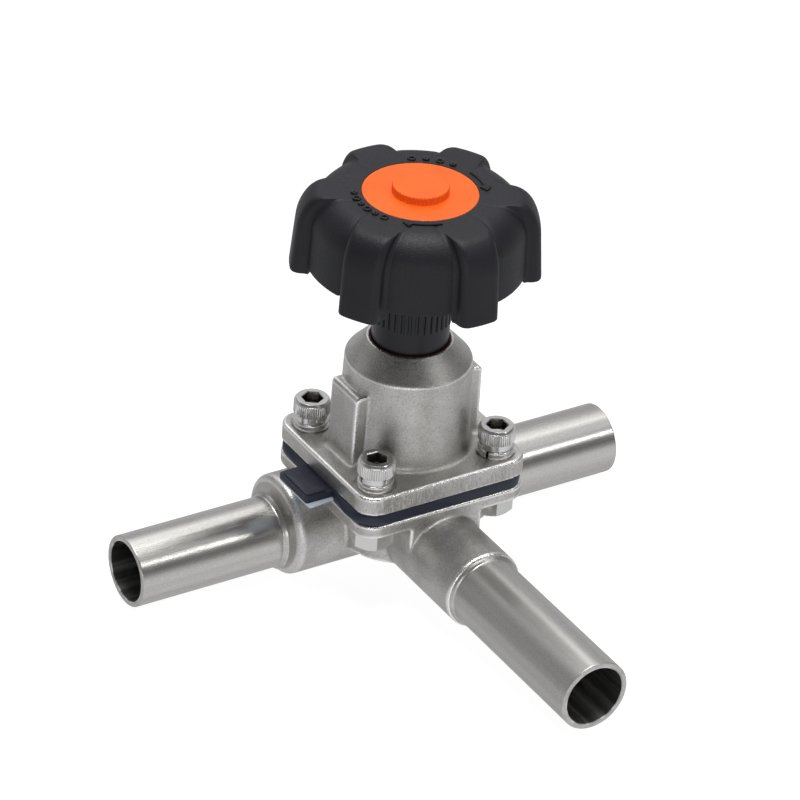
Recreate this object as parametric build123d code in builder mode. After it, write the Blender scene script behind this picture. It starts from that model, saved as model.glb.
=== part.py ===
from build123d import *
import os

os.makedirs("parts", exist_ok=True)

# Three-way diaphragm valve, weld ends, in millimetres.
# The run tube lies along X with its bore centre at the origin, the branch tube leaves
# towards -Y, and the stem stands along +Z behind the weir, stem_offset in front of the run.

# Ports
tube_od = 19.0
tube_wall = 1.5
run_half_length = 72.3
branch_reach = 92.7
stem_offset = 14.2
branch_height = 6.5
socket_depth = 5.0
socket_play = 0.02
weld_leg = 1.1

# Cast body
neck_radius = 13.4
neck_reach = 30.0
neck_rise = 2.85
neck_shift = 2.0
neck_edge = 2.0
branch_neck_radius = 10.8
branch_neck_reach = 42.0
branch_neck_edge = 0.7
flange_length = 49.6
flange_width = 45.8
flange_corner = 5.5
flange_edge = 0.7
body_flange_base = 16.5
body_flange_thickness = 3.8
saddle_width = 21.0
bowl_radius = 13.0
bowl_wall = 2.9
weir_thickness = 6.0
weir_crest = 16.0
passage_gap = 0.6
run_mouth = 2.0

# Diaphragm pair
facing_thickness = 1.2
backing_thickness = 2.2
facing_inset = 1.8
facing_play = 0.05
backing_inset = 0.3
backing_bulge = 0.8
bulge_inset = 4.0
dome_rise = 1.1
dome_flat = 6.0
tab_width = 13.8
tab_reach = 7.8
tab_block = 1.7
tab_plate = 0.5
tab_edge = 0.6
facing_tab_thickness = 0.6
facing_tab_step = 0.2
facing_tab_side = 1.6
facing_tab_root = 0.2

# Bolting, M6
bolt_inset_x = 6.8
bolt_inset_y = 6.9
screw_diameter = 6.0
screw_length = 20.0
rear_screw_length = 16.0
screw_head_diameter = 9.6
screw_head_height = 6.0
screw_head_edge = 0.6
screw_socket_flats = 5.0
screw_socket_depth = 3.2
bolt_hole_play = 0.3
spotface_diameter = 10.4
spotface_depth = 0.3
washer_diameter = 9.6
washer_thickness = 2.1
washer_split = 1.0
nut_flats = 10.0
nut_height = 5.0
nut_turn = 12.0
nut_chamfer_slope = 30.0
rear_boss_radius = 5.0
tapped_depth = 7.2
thread_play = 0.05

# Bonnet
bonnet_flange_thickness = 5.1
barrel_foot_radius = 17.2
barrel_top_radius = 16.4
barrel_top = 53.4
barrel_foot_fillet = 1.4
mouth_top = 59.2
mouth_rim_radius = 10.9
lug_reach = 19.2
lug_width = 12.6
lug_top = 48.4
lug_draft = 0.3
lug_edge = 0.8
lug_step = 0.8
guide_reach = 15.9
guide_width = 8.4
chamber_radius = 13.0
nut_shoulder = 43.0
mouth_depth = 7.7

# Stem and drive
stroke = 5.0
spindle_radius = 4.0
spindle_groove_radius = 3.2
spindle_edge = 0.4
spindle_recess = 0.4
spindle_nut_radius = 7.0
spindle_nut_seat_radius = 8.0
spindle_nut_flange_radius = 10.0
spindle_nut_flange = 2.0
spindle_nut_rise = 6.8
seat_play = 0.02
running_play = 0.05
ring_section = 0.8
ring_rise = 2.4
wiper_height = 1.5
wiper_section = 0.5
compressor_radius = 11.6
compressor_plate = 4.0
compressor_edge = 1.0
compressor_boss_radius = 7.0
compressor_rib = 2.4
wing_height = 6.0
guide_play = 0.3
pin_radius = 1.0
pin_drop = 6.5
contact_gap = 0.3
stud_radius = 2.5
stud_head_radius = 4.0
stud_head = 1.2
stud_reach = 4.2
thrust_disc_height = 1.0

# Hub sleeve and handwheel
sleeve_radius = 9.9
sleeve_entry = 2.2
sleeve_smooth = 8.0
sleeve_rib_count = 36
sleeve_rib_depth = 0.4
sleeve_rib_width = 0.9
sleeve_cavity_radius = 7.8
sleeve_headroom = 2.0
sleeve_top = 84.0
wheel_top = 101.0
wheel_lobes = 6
wheel_turn = 30.0
skirt_radius = 28.0
skirt_base = 81.4
skirt_wall = 2.3
shoulder_radius = 27.6
shoulder_drop = 7.8
dome_start = 19.8
lobe_radius = 31.8
lobe_base = 79.2
lobe_width = 10.9
lobe_corner = 2.0
lobe_shoulder_radius = 30.8
lobe_shoulder_drop = 9.2
lobe_crown_radius = 24.4
hub_radius = 12.0
hub_base = 80.0
wheel_rib = 1.8
wheel_rib_base = 87.0
insert_radius = 8.0
insert_height = 9.0
drive_flats = 6.4
drive_play = 0.05
pocket_radius = 7.0
wheel_screw_radius = 2.0
wheel_screw_head_radius = 3.5
wheel_screw_head = 3.6
wheel_screw_flats = 3.0
wheel_screw_socket_depth = 1.8
wheel_screw_reach = 9.0
screw_washer_radius = 6.0
screw_washer_thickness = 1.0
disc_radius = 14.7
disc_thickness = 2.2
disc_play = 0.05
button_radius = 7.2
button_height = 2.0
button_spigot_radius = 5.0
button_edge = 0.4

# Levels and places that follow from the sizes above
tube_radius = tube_od / 2
bore_radius = tube_radius - tube_wall
body_face = body_flange_base + body_flange_thickness
backing_base = body_face + facing_thickness
bonnet_face = backing_base + backing_thickness
bonnet_top = bonnet_face + bonnet_flange_thickness
spotface = bonnet_top - spotface_depth
head_seat = spotface + washer_thickness
dome_top = bonnet_face + dome_rise
plate_base = dome_top + contact_gap
wing_base = bonnet_face + stroke + contact_gap
boss_top = nut_shoulder - spindle_nut_flange - contact_gap
spindle_end = plate_base + compressor_plate + thrust_disc_height
pin_height = boss_top - pin_drop
spindle_nut_top = mouth_top + spindle_nut_rise
sleeve_bottom = mouth_top - sleeve_entry
sleeve_rib_start = sleeve_bottom + sleeve_smooth
sleeve_floor = spindle_nut_top + stroke + sleeve_headroom
shoulder_height = wheel_top - shoulder_drop
lobe_shoulder_height = wheel_top - lobe_shoulder_drop
drive_base = sleeve_top
drive_top = drive_base + insert_height
disc_base = wheel_top - disc_thickness
bolt_hole_radius = screw_diameter / 2 + bolt_hole_play
bolt_spacing_x = flange_length - 2 * bolt_inset_x
bolt_spacing_y = flange_width - 2 * bolt_inset_y
stem_axis = Axis((0, -stem_offset, 0), (0, 0, 1))
stem_section = Plane.XZ.offset(stem_offset)
front_row = -bolt_spacing_y / 2 - stem_offset
rear_row = bolt_spacing_y / 2 - stem_offset
front_bolts = [(-bolt_spacing_x / 2, front_row), (bolt_spacing_x / 2, front_row)]
rear_bolts = [(bolt_spacing_x / 2, rear_row), (-bolt_spacing_x / 2, rear_row)]
bolt_places = front_bolts + rear_bolts


def stem_plane(height):
    """A level plane centred on the stem axis."""
    return Plane((0, -stem_offset, height))


# The cast body: the flange, one eccentric barrel with both run necks, the branch neck, the bowl
with BuildPart() as valve_body:
    with BuildSketch(stem_plane(body_flange_base)):
        RectangleRounded(flange_length, flange_width, flange_corner)
    extrude(amount=body_flange_thickness)
    fillet(valve_body.edges().group_by(Axis.Z)[0], radius=flange_edge)
    with BuildSketch(Plane.YZ.offset(-neck_reach)):
        with Locations((-neck_shift, neck_rise)):
            Circle(neck_radius)
    extrude(amount=2 * neck_reach)
    rims_along_run = valve_body.edges().filter_by(GeomType.CIRCLE).group_by(Axis.X)
    fillet(rims_along_run[0] + rims_along_run[-1], radius=neck_edge)
    with BuildSketch(stem_section):
        with Locations((0, branch_height)):
            Circle(branch_neck_radius)
    extrude(amount=branch_neck_reach)
    branch_rim = valve_body.edges().filter_by(GeomType.CIRCLE).sort_by(Axis.Y)[0]
    fillet(branch_rim, radius=branch_neck_edge)
    with BuildSketch(stem_plane(0)):
        Circle(bowl_radius + bowl_wall)
    extrude(amount=body_flange_base)
    with BuildSketch(stem_plane(branch_height)):
        Rectangle(saddle_width, flange_width)
    extrude(amount=body_flange_base - branch_height)
    for x, y in rear_bolts:
        with BuildSketch(Plane((x, y, neck_rise))):
            Circle(rear_boss_radius)
        extrude(amount=body_flange_base - neck_rise)
    # Sockets for the three tubes and the two flow bores
    for side in (-1, 1):
        with BuildSketch(Plane.YZ.offset(side * neck_reach)):
            Circle(tube_radius + socket_play)
        extrude(amount=-side * socket_depth, mode=Mode.SUBTRACT)
    with BuildSketch(Plane.XZ.offset(stem_offset + branch_neck_reach)):
        with Locations((0, branch_height)):
            Circle(tube_radius + socket_play)
    extrude(amount=-socket_depth, mode=Mode.SUBTRACT)
    with BuildSketch(Plane.YZ.offset(-neck_reach)):
        Circle(bore_radius)
    extrude(amount=2 * neck_reach, mode=Mode.SUBTRACT)
    with BuildSketch(Plane.XZ.offset(stem_offset + weir_thickness / 2)):
        with Locations((0, branch_height)):
            Circle(bore_radius)
    extrude(amount=branch_neck_reach, mode=Mode.SUBTRACT)
    # Passage up from the run, on the near side of the weir
    with BuildSketch(stem_plane(0)):
        Circle(bowl_radius - passage_gap)
        with Locations((0, weir_thickness / 2 - bowl_radius)):
            Rectangle(2 * bowl_radius, 2 * bowl_radius, mode=Mode.SUBTRACT)
        with Locations((0, stem_offset - run_mouth + bowl_radius)):
            Rectangle(2 * bowl_radius, 2 * bowl_radius, mode=Mode.SUBTRACT)
    extrude(amount=body_face, mode=Mode.SUBTRACT)
    # Passage down to the branch, on the far side of the weir
    with BuildSketch(stem_plane(branch_height)):
        Circle(bowl_radius - passage_gap)
        with Locations((0, bowl_radius - weir_thickness / 2)):
            Rectangle(2 * bowl_radius, 2 * bowl_radius, mode=Mode.SUBTRACT)
    extrude(amount=body_face - branch_height, mode=Mode.SUBTRACT)
    # The bowl over the weir, whose crest is a shallow arc across X
    with BuildSketch(stem_section):
        with BuildLine():
            crest = ThreePointArc((-bowl_radius, body_face), (0, weir_crest), (bowl_radius, body_face))
            Line(crest @ 1, crest @ 0)
        make_face()
    extrude(amount=bowl_radius, both=True, mode=Mode.SUBTRACT)
    # Through holes in front; tapped blind holes at the back, over the run necks
    with Locations(*[(x, y, body_face) for x, y in front_bolts]):
        Hole(bolt_hole_radius, depth=body_flange_thickness)
    with Locations(*[(x, y, body_face) for x, y in rear_bolts]):
        Hole(screw_diameter / 2 + thread_play, depth=tapped_depth)
valve_body.part.label = "valve_body"
export_step(valve_body.part, "parts/valve_body.step")


def free_tube(name, section, origin, axis, neck, end):
    """A plain weld-end tube with its fillet weld, along one axis from inside its socket."""
    with BuildPart() as tube:
        with BuildSketch(section):
            with BuildLine():
                Polyline(
                    (neck - socket_depth, bore_radius),
                    (end, bore_radius),
                    (end, tube_radius),
                    (neck + weld_leg, tube_radius),
                    (neck, tube_radius + weld_leg),
                    (neck, tube_radius),
                    (neck - socket_depth, tube_radius),
                    close=True,
                )
            make_face()
        revolve(axis=Axis(origin, axis))
    tube.part.label = name
    export_step(tube.part, f"parts/{name}.step")
    return tube.part


left_section = Plane((0, 0, 0), x_dir=(-1, 0, 0), z_dir=(0, 1, 0))
right_section = Plane.XZ
branch_section = Plane((0, -stem_offset, branch_height), x_dir=(0, -1, 0), z_dir=(-1, 0, 0))
free_tube("run_tube_left", left_section, (0, 0, 0), (-1, 0, 0), neck_reach, run_half_length)
free_tube("run_tube_right", right_section, (0, 0, 0), (1, 0, 0), neck_reach, run_half_length)
free_tube(
    "branch_tube", branch_section, branch_section.origin, (0, -1, 0), branch_neck_reach, branch_reach
)

# Diaphragm facing: flat clamped rim, a dome over the weir and a thin strip under the tab
facing_length = flange_length - 2 * facing_inset
facing_width = flange_width - 2 * facing_inset
facing_corner = flange_corner - facing_inset
tab_end = flange_length / 2 + tab_reach
strip_end = facing_tab_step - tab_end
strip_root = facing_corner - facing_length / 2
with BuildSketch() as facing_strip:
    with BuildLine():
        Polyline(
            (strip_root, tab_width / 2 - facing_tab_root),
            (strip_end, tab_width / 2 - facing_tab_root),
            (strip_end, -tab_width / 2 - facing_tab_side),
            (strip_root, -tab_width / 2 - facing_tab_root),
            close=True,
        )
    make_face()
with BuildPart() as ptfe_diaphragm:
    with BuildSketch(stem_plane(body_face)):
        RectangleRounded(facing_length, facing_width, facing_corner)
    extrude(amount=facing_thickness)
    with BuildSketch(stem_plane(backing_base)):
        add(facing_strip.sketch)
    extrude(amount=-facing_tab_thickness)
    with BuildSketch(stem_plane(body_face)):
        Circle(bowl_radius)
    extrude(amount=facing_thickness, mode=Mode.SUBTRACT)
    with BuildSketch(stem_section):
        with BuildLine():
            rim_low = (bowl_radius, body_face)
            top_low = (dome_flat, body_face + dome_rise)
            low = Spline(rim_low, top_low, tangents=((-1, 0), (-1, 0)))
            Line(top_low, (0, body_face + dome_rise))
            Line((0, body_face + dome_rise), (0, backing_base + dome_rise))
            Line((0, backing_base + dome_rise), (dome_flat, backing_base + dome_rise))
            Spline(
                (dome_flat, backing_base + dome_rise),
                (bowl_radius, backing_base),
                tangents=((1, 0), (1, 0)),
            )
            Line((bowl_radius, backing_base), rim_low)
        make_face()
    revolve(axis=stem_axis)
    with Locations(*[(x, y, backing_base) for x, y in bolt_places]):
        Hole(bolt_hole_radius, depth=facing_thickness)
ptfe_diaphragm.part.label = "ptfe_diaphragm"
export_step(ptfe_diaphragm.part, "parts/ptfe_diaphragm.step")

# Rubber backing: it fills the gap between the flanges and takes the facing in a pocket; it
# bulges a little at the left, where the tab with its raised plate stands out
with BuildPart() as diaphragm_backing:
    with BuildSketch(stem_plane(body_face)):
        RectangleRounded(
            flange_length - 2 * backing_inset, flange_width - 2 * backing_inset, flange_corner
        )
        with Locations((-backing_bulge, 0)):
            RectangleRounded(flange_length, flange_width - 2 * bulge_inset, flange_corner)
    extrude(amount=facing_thickness + backing_thickness)
    with BuildSketch(stem_plane(backing_base)):
        with Locations((-flange_length / 2, 0)):
            RectangleRounded(2 * tab_reach, tab_width, tab_edge)
    extrude(amount=tab_block)
    plate_root = flange_length / 2 + backing_bulge + tab_plate
    plate_end = tab_end - tab_plate
    with BuildSketch(stem_plane(backing_base + tab_block)):
        with Locations((-(plate_root + plate_end) / 2, 0)):
            Rectangle(plate_end - plate_root, tab_width - 2 * tab_plate)
    extrude(amount=tab_plate)
    with BuildSketch(stem_plane(body_face)):
        RectangleRounded(
            facing_length + 2 * facing_play, facing_width + 2 * facing_play, facing_corner
        )
    extrude(amount=facing_thickness, mode=Mode.SUBTRACT)
    with BuildSketch(stem_plane(backing_base)):
        add(facing_strip.sketch)
        offset(amount=facing_play)
    extrude(amount=-(facing_tab_thickness + facing_play), mode=Mode.SUBTRACT)
    with BuildSketch(stem_plane(backing_base)):
        Circle(bowl_radius)
    extrude(amount=backing_thickness, mode=Mode.SUBTRACT)
    with BuildSketch(stem_section):
        with BuildLine():
            foot = backing_base + dome_rise
            Spline((bowl_radius, backing_base), (dome_flat, foot), tangents=((-1, 0), (-1, 0)))
            Line((dome_flat, foot), (0, foot))
            Line((0, foot), (0, dome_top))
            Line((0, dome_top), (dome_flat, dome_top))
            Spline((dome_flat, dome_top), (bowl_radius, bonnet_face), tangents=((1, 0), (1, 0)))
            Line((bowl_radius, bonnet_face), (bowl_radius, backing_base))
        make_face()
    revolve(axis=stem_axis)
    with BuildSketch(stem_plane(dome_top)):
        Circle(stud_head_radius + contact_gap)
    extrude(amount=-(stud_head + contact_gap), mode=Mode.SUBTRACT)
    with Locations(*[(x, y, bonnet_face) for x, y in bolt_places]):
        Hole(bolt_hole_radius, depth=backing_thickness)
diaphragm_backing.part.label = "diaphragm_backing"
export_step(diaphragm_backing.part, "parts/diaphragm_backing.step")

# Bonnet: flange, drafted barrel with a conical top, two guide lugs and the chamber inside
with BuildPart() as bonnet:
    with BuildSketch(stem_plane(bonnet_face)):
        RectangleRounded(flange_length, flange_width, flange_corner)
    extrude(amount=bonnet_flange_thickness)
    fillet(bonnet.edges().group_by(Axis.Z)[-1], radius=flange_edge)
    with BuildSketch(stem_section):
        with BuildLine():
            Polyline(
                (0, bonnet_face),
                (barrel_foot_radius, bonnet_face),
                (barrel_foot_radius, bonnet_top),
                (barrel_top_radius, barrel_top),
                (mouth_rim_radius, mouth_top),
                (0, mouth_top),
                close=True,
            )
        make_face()
    revolve(axis=stem_axis)
    lug_shoulder = lug_reach - lug_draft
    with BuildSketch(stem_section):
        with BuildLine():
            Polyline(
                (-lug_reach, bonnet_top),
                (lug_reach, bonnet_top),
                (lug_shoulder, lug_top - lug_step),
                (lug_shoulder - lug_step, lug_top),
                (lug_step - lug_shoulder, lug_top),
                (-lug_shoulder, lug_top - lug_step),
                close=True,
            )
        make_face()
    extrude(amount=lug_width / 2, both=True)
    lug_faces = bonnet.faces().filter_by(Axis.Y)
    lug_corners = [
        edge
        for edge in lug_faces.edges()
        if abs(edge.center().X) > lug_shoulder and edge.length > (lug_top - bonnet_top) / 2
    ]
    fillet(lug_corners, radius=lug_edge)
    stem_foot = Vector(0, -stem_offset, bonnet_top)
    foot_edges = [
        edge
        for edge in bonnet.edges().filter_by_position(Axis.Z, bonnet_top, bonnet_top)
        if (edge @ 0 - stem_foot).length < lug_reach + barrel_foot_fillet
    ]
    fillet(foot_edges, radius=barrel_foot_fillet)
    with BuildSketch(stem_section):
        with BuildLine():
            Polyline(
                (0, bonnet_face),
                (chamber_radius, bonnet_face),
                (chamber_radius, nut_shoulder),
                (spindle_nut_seat_radius, nut_shoulder),
                (spindle_nut_seat_radius, mouth_top - mouth_depth),
                (sleeve_radius + guide_play, mouth_top - mouth_depth),
                (sleeve_radius + guide_play, mouth_top - wiper_height),
                (sleeve_radius + wiper_section, mouth_top - wiper_height),
                (sleeve_radius + wiper_section, mouth_top),
                (0, mouth_top),
                close=True,
            )
        make_face()
    revolve(axis=stem_axis, mode=Mode.SUBTRACT)
    with BuildSketch(stem_plane(bonnet_face)):
        Rectangle(2 * guide_reach, guide_width)
    extrude(amount=nut_shoulder - bonnet_face, mode=Mode.SUBTRACT)
    with BuildSketch(Plane.XY.offset(spotface)):
        with Locations(*bolt_places):
            Circle(spotface_diameter / 2)
    extrude(amount=screw_head_height, mode=Mode.SUBTRACT)
    with Locations(*[(x, y, bonnet_top) for x, y in bolt_places]):
        Hole(bolt_hole_radius, depth=bonnet_flange_thickness)
bonnet.part.label = "bonnet"
export_step(bonnet.part, "parts/bonnet.step")

# Spindle nut: flange against the chamber roof, body up into the hub sleeve, ring groove
with BuildPart() as spindle_nut:
    ring_level = sleeve_bottom + ring_rise
    with BuildSketch(stem_section):
        with BuildLine():
            Polyline(
                (spindle_radius + thread_play, nut_shoulder - spindle_nut_flange),
                (spindle_nut_flange_radius, nut_shoulder - spindle_nut_flange),
                (spindle_nut_flange_radius, nut_shoulder),
                (spindle_nut_seat_radius - seat_play, nut_shoulder),
                (spindle_nut_seat_radius - seat_play, mouth_top - mouth_depth),
                (spindle_nut_radius, mouth_top - mouth_depth),
                (spindle_nut_radius, spindle_nut_top),
                (spindle_radius + thread_play, spindle_nut_top),
                close=True,
            )
        make_face()
    revolve(axis=stem_axis)
    with BuildSketch(stem_section):
        with Locations((spindle_nut_radius, ring_level)):
            Rectangle(2 * ring_section + 4 * running_play, 2 * ring_section + 2 * running_play)
    revolve(axis=stem_axis, mode=Mode.SUBTRACT)
spindle_nut.part.label = "spindle_nut"
export_step(spindle_nut.part, "parts/spindle_nut.step")

# Sealing ring between the nut and the sleeve's bore
with BuildPart() as nut_seal_ring:
    with BuildSketch(stem_section):
        with Locations((sleeve_cavity_radius - running_play - ring_section, ring_level)):
            Circle(ring_section)
    revolve(axis=stem_axis)
nut_seal_ring.part.label = "nut_seal_ring"
export_step(nut_seal_ring.part, "parts/nut_seal_ring.step")

# Wiper ring in the bonnet's mouth, around the sleeve
with BuildPart() as wiper_ring:
    with BuildSketch(stem_plane(mouth_top - wiper_height)):
        Circle(sleeve_radius + wiper_section)
        Circle(sleeve_radius + running_play, mode=Mode.SUBTRACT)
    extrude(amount=wiper_height)
wiper_ring.part.label = "wiper_ring"
export_step(wiper_ring.part, "parts/wiper_ring.step")

# Compressor: the plate that bears on the diaphragm, its boss and its two guide wings
with BuildPart() as compressor:
    with BuildSketch(stem_plane(plate_base)):
        Circle(compressor_radius)
    extrude(amount=compressor_plate)
    chamfer(compressor.edges().group_by(Axis.Z)[0], length=compressor_edge)
    with BuildSketch(stem_plane(plate_base)):
        Circle(compressor_boss_radius)
    extrude(amount=boss_top - plate_base)
    with BuildSketch(stem_plane(wing_base)):
        Rectangle(2 * (guide_reach - guide_play), guide_width - 2 * guide_play)
        Rectangle(compressor_rib, 2 * compressor_radius - compressor_rib)
    extrude(amount=wing_height)
    with BuildSketch(stem_plane(plate_base + compressor_plate)):
        Circle(spindle_radius + running_play)
    extrude(amount=boss_top - plate_base, mode=Mode.SUBTRACT)
    with BuildSketch(stem_plane(plate_base)):
        Circle(stud_radius + seat_play)
    extrude(amount=stud_reach, mode=Mode.SUBTRACT)
    pin_offset = spindle_groove_radius + pin_radius + running_play
    pin_half = (compressor_boss_radius**2 - (pin_offset + pin_radius) ** 2) ** 0.5
    with BuildSketch(stem_section):
        with Locations((-pin_offset, pin_height), (pin_offset, pin_height)):
            Circle(pin_radius + seat_play)
    extrude(amount=compressor_boss_radius, both=True, mode=Mode.SUBTRACT)
compressor.part.label = "compressor"
export_step(compressor.part, "parts/compressor.step")

# Two dowels through the boss hold the spindle by its groove and let it turn
for number, side in enumerate((-1, 1), start=1):
    with BuildPart() as dowel:
        with BuildSketch(stem_section):
            with Locations((side * pin_offset, pin_height)):
                Circle(pin_radius)
        extrude(amount=pin_half, both=True)
    dowel.part.label = f"compressor_pin_{number}"
    export_step(dowel.part, f"parts/compressor_pin_{number}.step")

# Stud moulded into the diaphragm's backing and screwed into the compressor
with BuildPart() as diaphragm_stud:
    with BuildSketch(stem_plane(dome_top - stud_head)):
        Circle(stud_head_radius)
    extrude(amount=stud_head)
    with BuildSketch(stem_plane(dome_top)):
        Circle(stud_radius)
    extrude(amount=stud_reach)
diaphragm_stud.part.label = "diaphragm_stud"
export_step(diaphragm_stud.part, "parts/diaphragm_stud.step")

# Hardened disc under the end of the spindle
with BuildPart() as thrust_disc:
    with BuildSketch(stem_plane(plate_base + compressor_plate)):
        Circle(spindle_radius)
    extrude(amount=thrust_disc_height)
thrust_disc.part.label = "thrust_disc"
export_step(thrust_disc.part, "parts/thrust_disc.step")

# Spindle: screw, swivel groove at the foot, four drive flats and a tapped hole at the head
with BuildPart() as spindle:
    spindle_head = drive_top - spindle_recess
    with BuildSketch(stem_plane(spindle_end)):
        Circle(spindle_radius)
    extrude(amount=spindle_head - spindle_end)
    chamfer(spindle.edges().filter_by(GeomType.CIRCLE), length=spindle_edge)
    groove_half = pin_radius + running_play
    with BuildSketch(stem_plane(pin_height - groove_half)):
        Circle(spindle_radius)
        Circle(spindle_groove_radius, mode=Mode.SUBTRACT)
    extrude(amount=2 * groove_half, mode=Mode.SUBTRACT)
    with BuildSketch(stem_plane(drive_base)):
        Circle(spindle_radius)
        Rectangle(drive_flats, drive_flats, mode=Mode.SUBTRACT)
    extrude(amount=insert_height, mode=Mode.SUBTRACT)
    with BuildSketch(stem_plane(spindle_head)):
        Circle(wheel_screw_radius + thread_play)
    extrude(amount=-wheel_screw_reach, mode=Mode.SUBTRACT)
spindle.part.label = "spindle"
export_step(spindle.part, "parts/spindle.step")

# Hub sleeve: smooth barrel that runs into the bonnet's mouth, ribbed above
with BuildPart() as hub_sleeve:
    with BuildSketch(stem_plane(sleeve_bottom)):
        Circle(sleeve_radius)
    extrude(amount=sleeve_top - sleeve_bottom)
    with BuildSketch(stem_plane(sleeve_rib_start)):
        Circle(sleeve_radius)
        with PolarLocations(sleeve_radius, sleeve_rib_count):
            Rectangle(2 * sleeve_rib_depth, sleeve_rib_width)
    extrude(amount=hub_base - sleeve_rib_start)
    with BuildSketch(stem_plane(sleeve_bottom)):
        Circle(sleeve_cavity_radius)
    extrude(amount=sleeve_floor - sleeve_bottom, mode=Mode.SUBTRACT)
    with BuildSketch(stem_plane(sleeve_bottom)):
        Circle(spindle_radius + running_play)
    extrude(amount=sleeve_top - sleeve_bottom, mode=Mode.SUBTRACT)
hub_sleeve.part.label = "hub_sleeve"
export_step(hub_sleeve.part, "parts/hub_sleeve.step")

# One lobe of the handwheel: a drafted finger with a rounded crown, cored from below
with BuildPart() as lobe:
    with BuildSketch(Plane.XY.offset(lobe_base)):
        with Locations((disc_radius + disc_play, 0)):
            Rectangle(lobe_radius, lobe_width, align=(Align.MIN, Align.CENTER))
    extrude(amount=wheel_top - lobe_base)
    with BuildSketch(Plane.XZ):
        with BuildLine():
            Polyline(
                (lobe_shoulder_radius, lobe_shoulder_height),
                (lobe_radius, lobe_base),
                (0, lobe_base),
                (0, wheel_top),
                (lobe_crown_radius, wheel_top),
            )
            Spline(
                (lobe_crown_radius, wheel_top),
                (lobe_shoulder_radius, lobe_shoulder_height),
                tangents=((1, 0), (lobe_radius - lobe_shoulder_radius, lobe_base - lobe_shoulder_height)),
            )
        make_face()
    revolve(axis=Axis.Z, mode=Mode.INTERSECT)
    outer_edges = lobe.edges().filter_by_position(Axis.X, lobe_crown_radius, lobe_radius)
    fillet(outer_edges.filter_by_position(Axis.Z, lobe_base + lobe_corner, wheel_top), radius=lobe_corner)

# Handwheel: domed shell with six lobes, open below, ribs out to the skirt and the hub
with BuildPart() as handwheel:
    with BuildSketch(stem_section):
        with BuildLine():
            Polyline(
                (shoulder_radius, shoulder_height),
                (skirt_radius, skirt_base),
                (0, skirt_base),
                (0, wheel_top),
                (dome_start, wheel_top),
            )
            Spline(
                (dome_start, wheel_top),
                (shoulder_radius, shoulder_height),
                tangents=((1, 0), (skirt_radius - shoulder_radius, skirt_base - shoulder_height)),
            )
        make_face()
    revolve(axis=stem_axis)
    with Locations(stem_plane(0)):
        with PolarLocations(0, wheel_lobes, start_angle=wheel_turn):
            add(lobe.part)
    with BuildSketch(stem_section):
        with BuildLine():
            inner_radius = shoulder_radius - skirt_wall
            Polyline(
                (inner_radius, shoulder_height),
                (skirt_radius - skirt_wall, lobe_base),
                (hub_radius, lobe_base),
                (hub_radius, wheel_top - skirt_wall),
                (dome_start, wheel_top - skirt_wall),
            )
            Spline(
                (dome_start, wheel_top - skirt_wall),
                (inner_radius, shoulder_height),
                tangents=((1, 0), (skirt_radius - shoulder_radius, skirt_base - shoulder_height)),
            )
        make_face()
    revolve(axis=stem_axis, mode=Mode.SUBTRACT)
    with BuildSketch(stem_plane(lobe_base)):
        with PolarLocations(skirt_radius - skirt_wall, wheel_lobes, start_angle=wheel_turn):
            Rectangle(2 * (lobe_radius - skirt_radius), lobe_width - 2 * skirt_wall)
    extrude(amount=shoulder_height - lobe_base, mode=Mode.SUBTRACT)
    with BuildSketch(stem_plane(wheel_rib_base)):
        rib_length = skirt_radius - skirt_wall - hub_radius
        rib_centre = hub_radius + rib_length / 2
        with PolarLocations(rib_centre, wheel_lobes, start_angle=wheel_turn + 180 / wheel_lobes):
            Rectangle(rib_length + skirt_wall, wheel_rib)
    extrude(amount=shoulder_height - wheel_rib_base)
    with BuildSketch(stem_plane(hub_base)):
        Circle(hub_radius)
    extrude(amount=sleeve_top - hub_base)
    with BuildSketch(stem_plane(hub_base)):
        Circle(sleeve_radius + seat_play)
    extrude(amount=sleeve_top - hub_base, mode=Mode.SUBTRACT)
    with BuildSketch(stem_plane(drive_base)):
        Circle(insert_radius + seat_play)
    extrude(amount=insert_height, mode=Mode.SUBTRACT)
    with BuildSketch(stem_plane(drive_top)):
        Circle(pocket_radius)
    extrude(amount=disc_base - drive_top, mode=Mode.SUBTRACT)
    with BuildSketch(stem_plane(disc_base)):
        Circle(disc_radius + disc_play)
    extrude(amount=disc_thickness, mode=Mode.SUBTRACT)
handwheel.part.label = "handwheel"
export_step(handwheel.part, "parts/handwheel.step")

# Brass drive insert moulded into the wheel's hub
with BuildPart() as drive_insert:
    with BuildSketch(stem_plane(drive_base)):
        Circle(insert_radius)
    extrude(amount=insert_height)
    with BuildSketch(stem_plane(drive_base)):
        Circle(spindle_radius + drive_play)
        socket_flats = drive_flats + 2 * drive_play
        Rectangle(socket_flats, socket_flats, mode=Mode.INTERSECT)
    extrude(amount=insert_height, mode=Mode.SUBTRACT)
drive_insert.part.label = "drive_insert"
export_step(drive_insert.part, "parts/drive_insert.step")

# Washer and screw that hold the wheel down on the spindle
with BuildPart() as wheel_washer:
    with BuildSketch(stem_plane(drive_top)):
        Circle(screw_washer_radius)
        Circle(wheel_screw_radius + running_play, mode=Mode.SUBTRACT)
    extrude(amount=screw_washer_thickness)
wheel_washer.part.label = "wheel_washer"
export_step(wheel_washer.part, "parts/wheel_washer.step")

with BuildPart() as wheel_screw:
    screw_seat = drive_top + screw_washer_thickness
    with BuildSketch(stem_plane(screw_seat)):
        Circle(wheel_screw_head_radius)
    extrude(amount=wheel_screw_head)
    with BuildSketch(stem_plane(screw_seat)):
        Circle(wheel_screw_radius)
    extrude(amount=-wheel_screw_reach)
    with BuildSketch(stem_plane(screw_seat + wheel_screw_head)):
        RegularPolygon(wheel_screw_flats / 2, 6, major_radius=False)
    extrude(amount=-wheel_screw_socket_depth, mode=Mode.SUBTRACT)
wheel_screw.part.label = "wheel_screw"
export_step(wheel_screw.part, "parts/wheel_screw.step")

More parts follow.
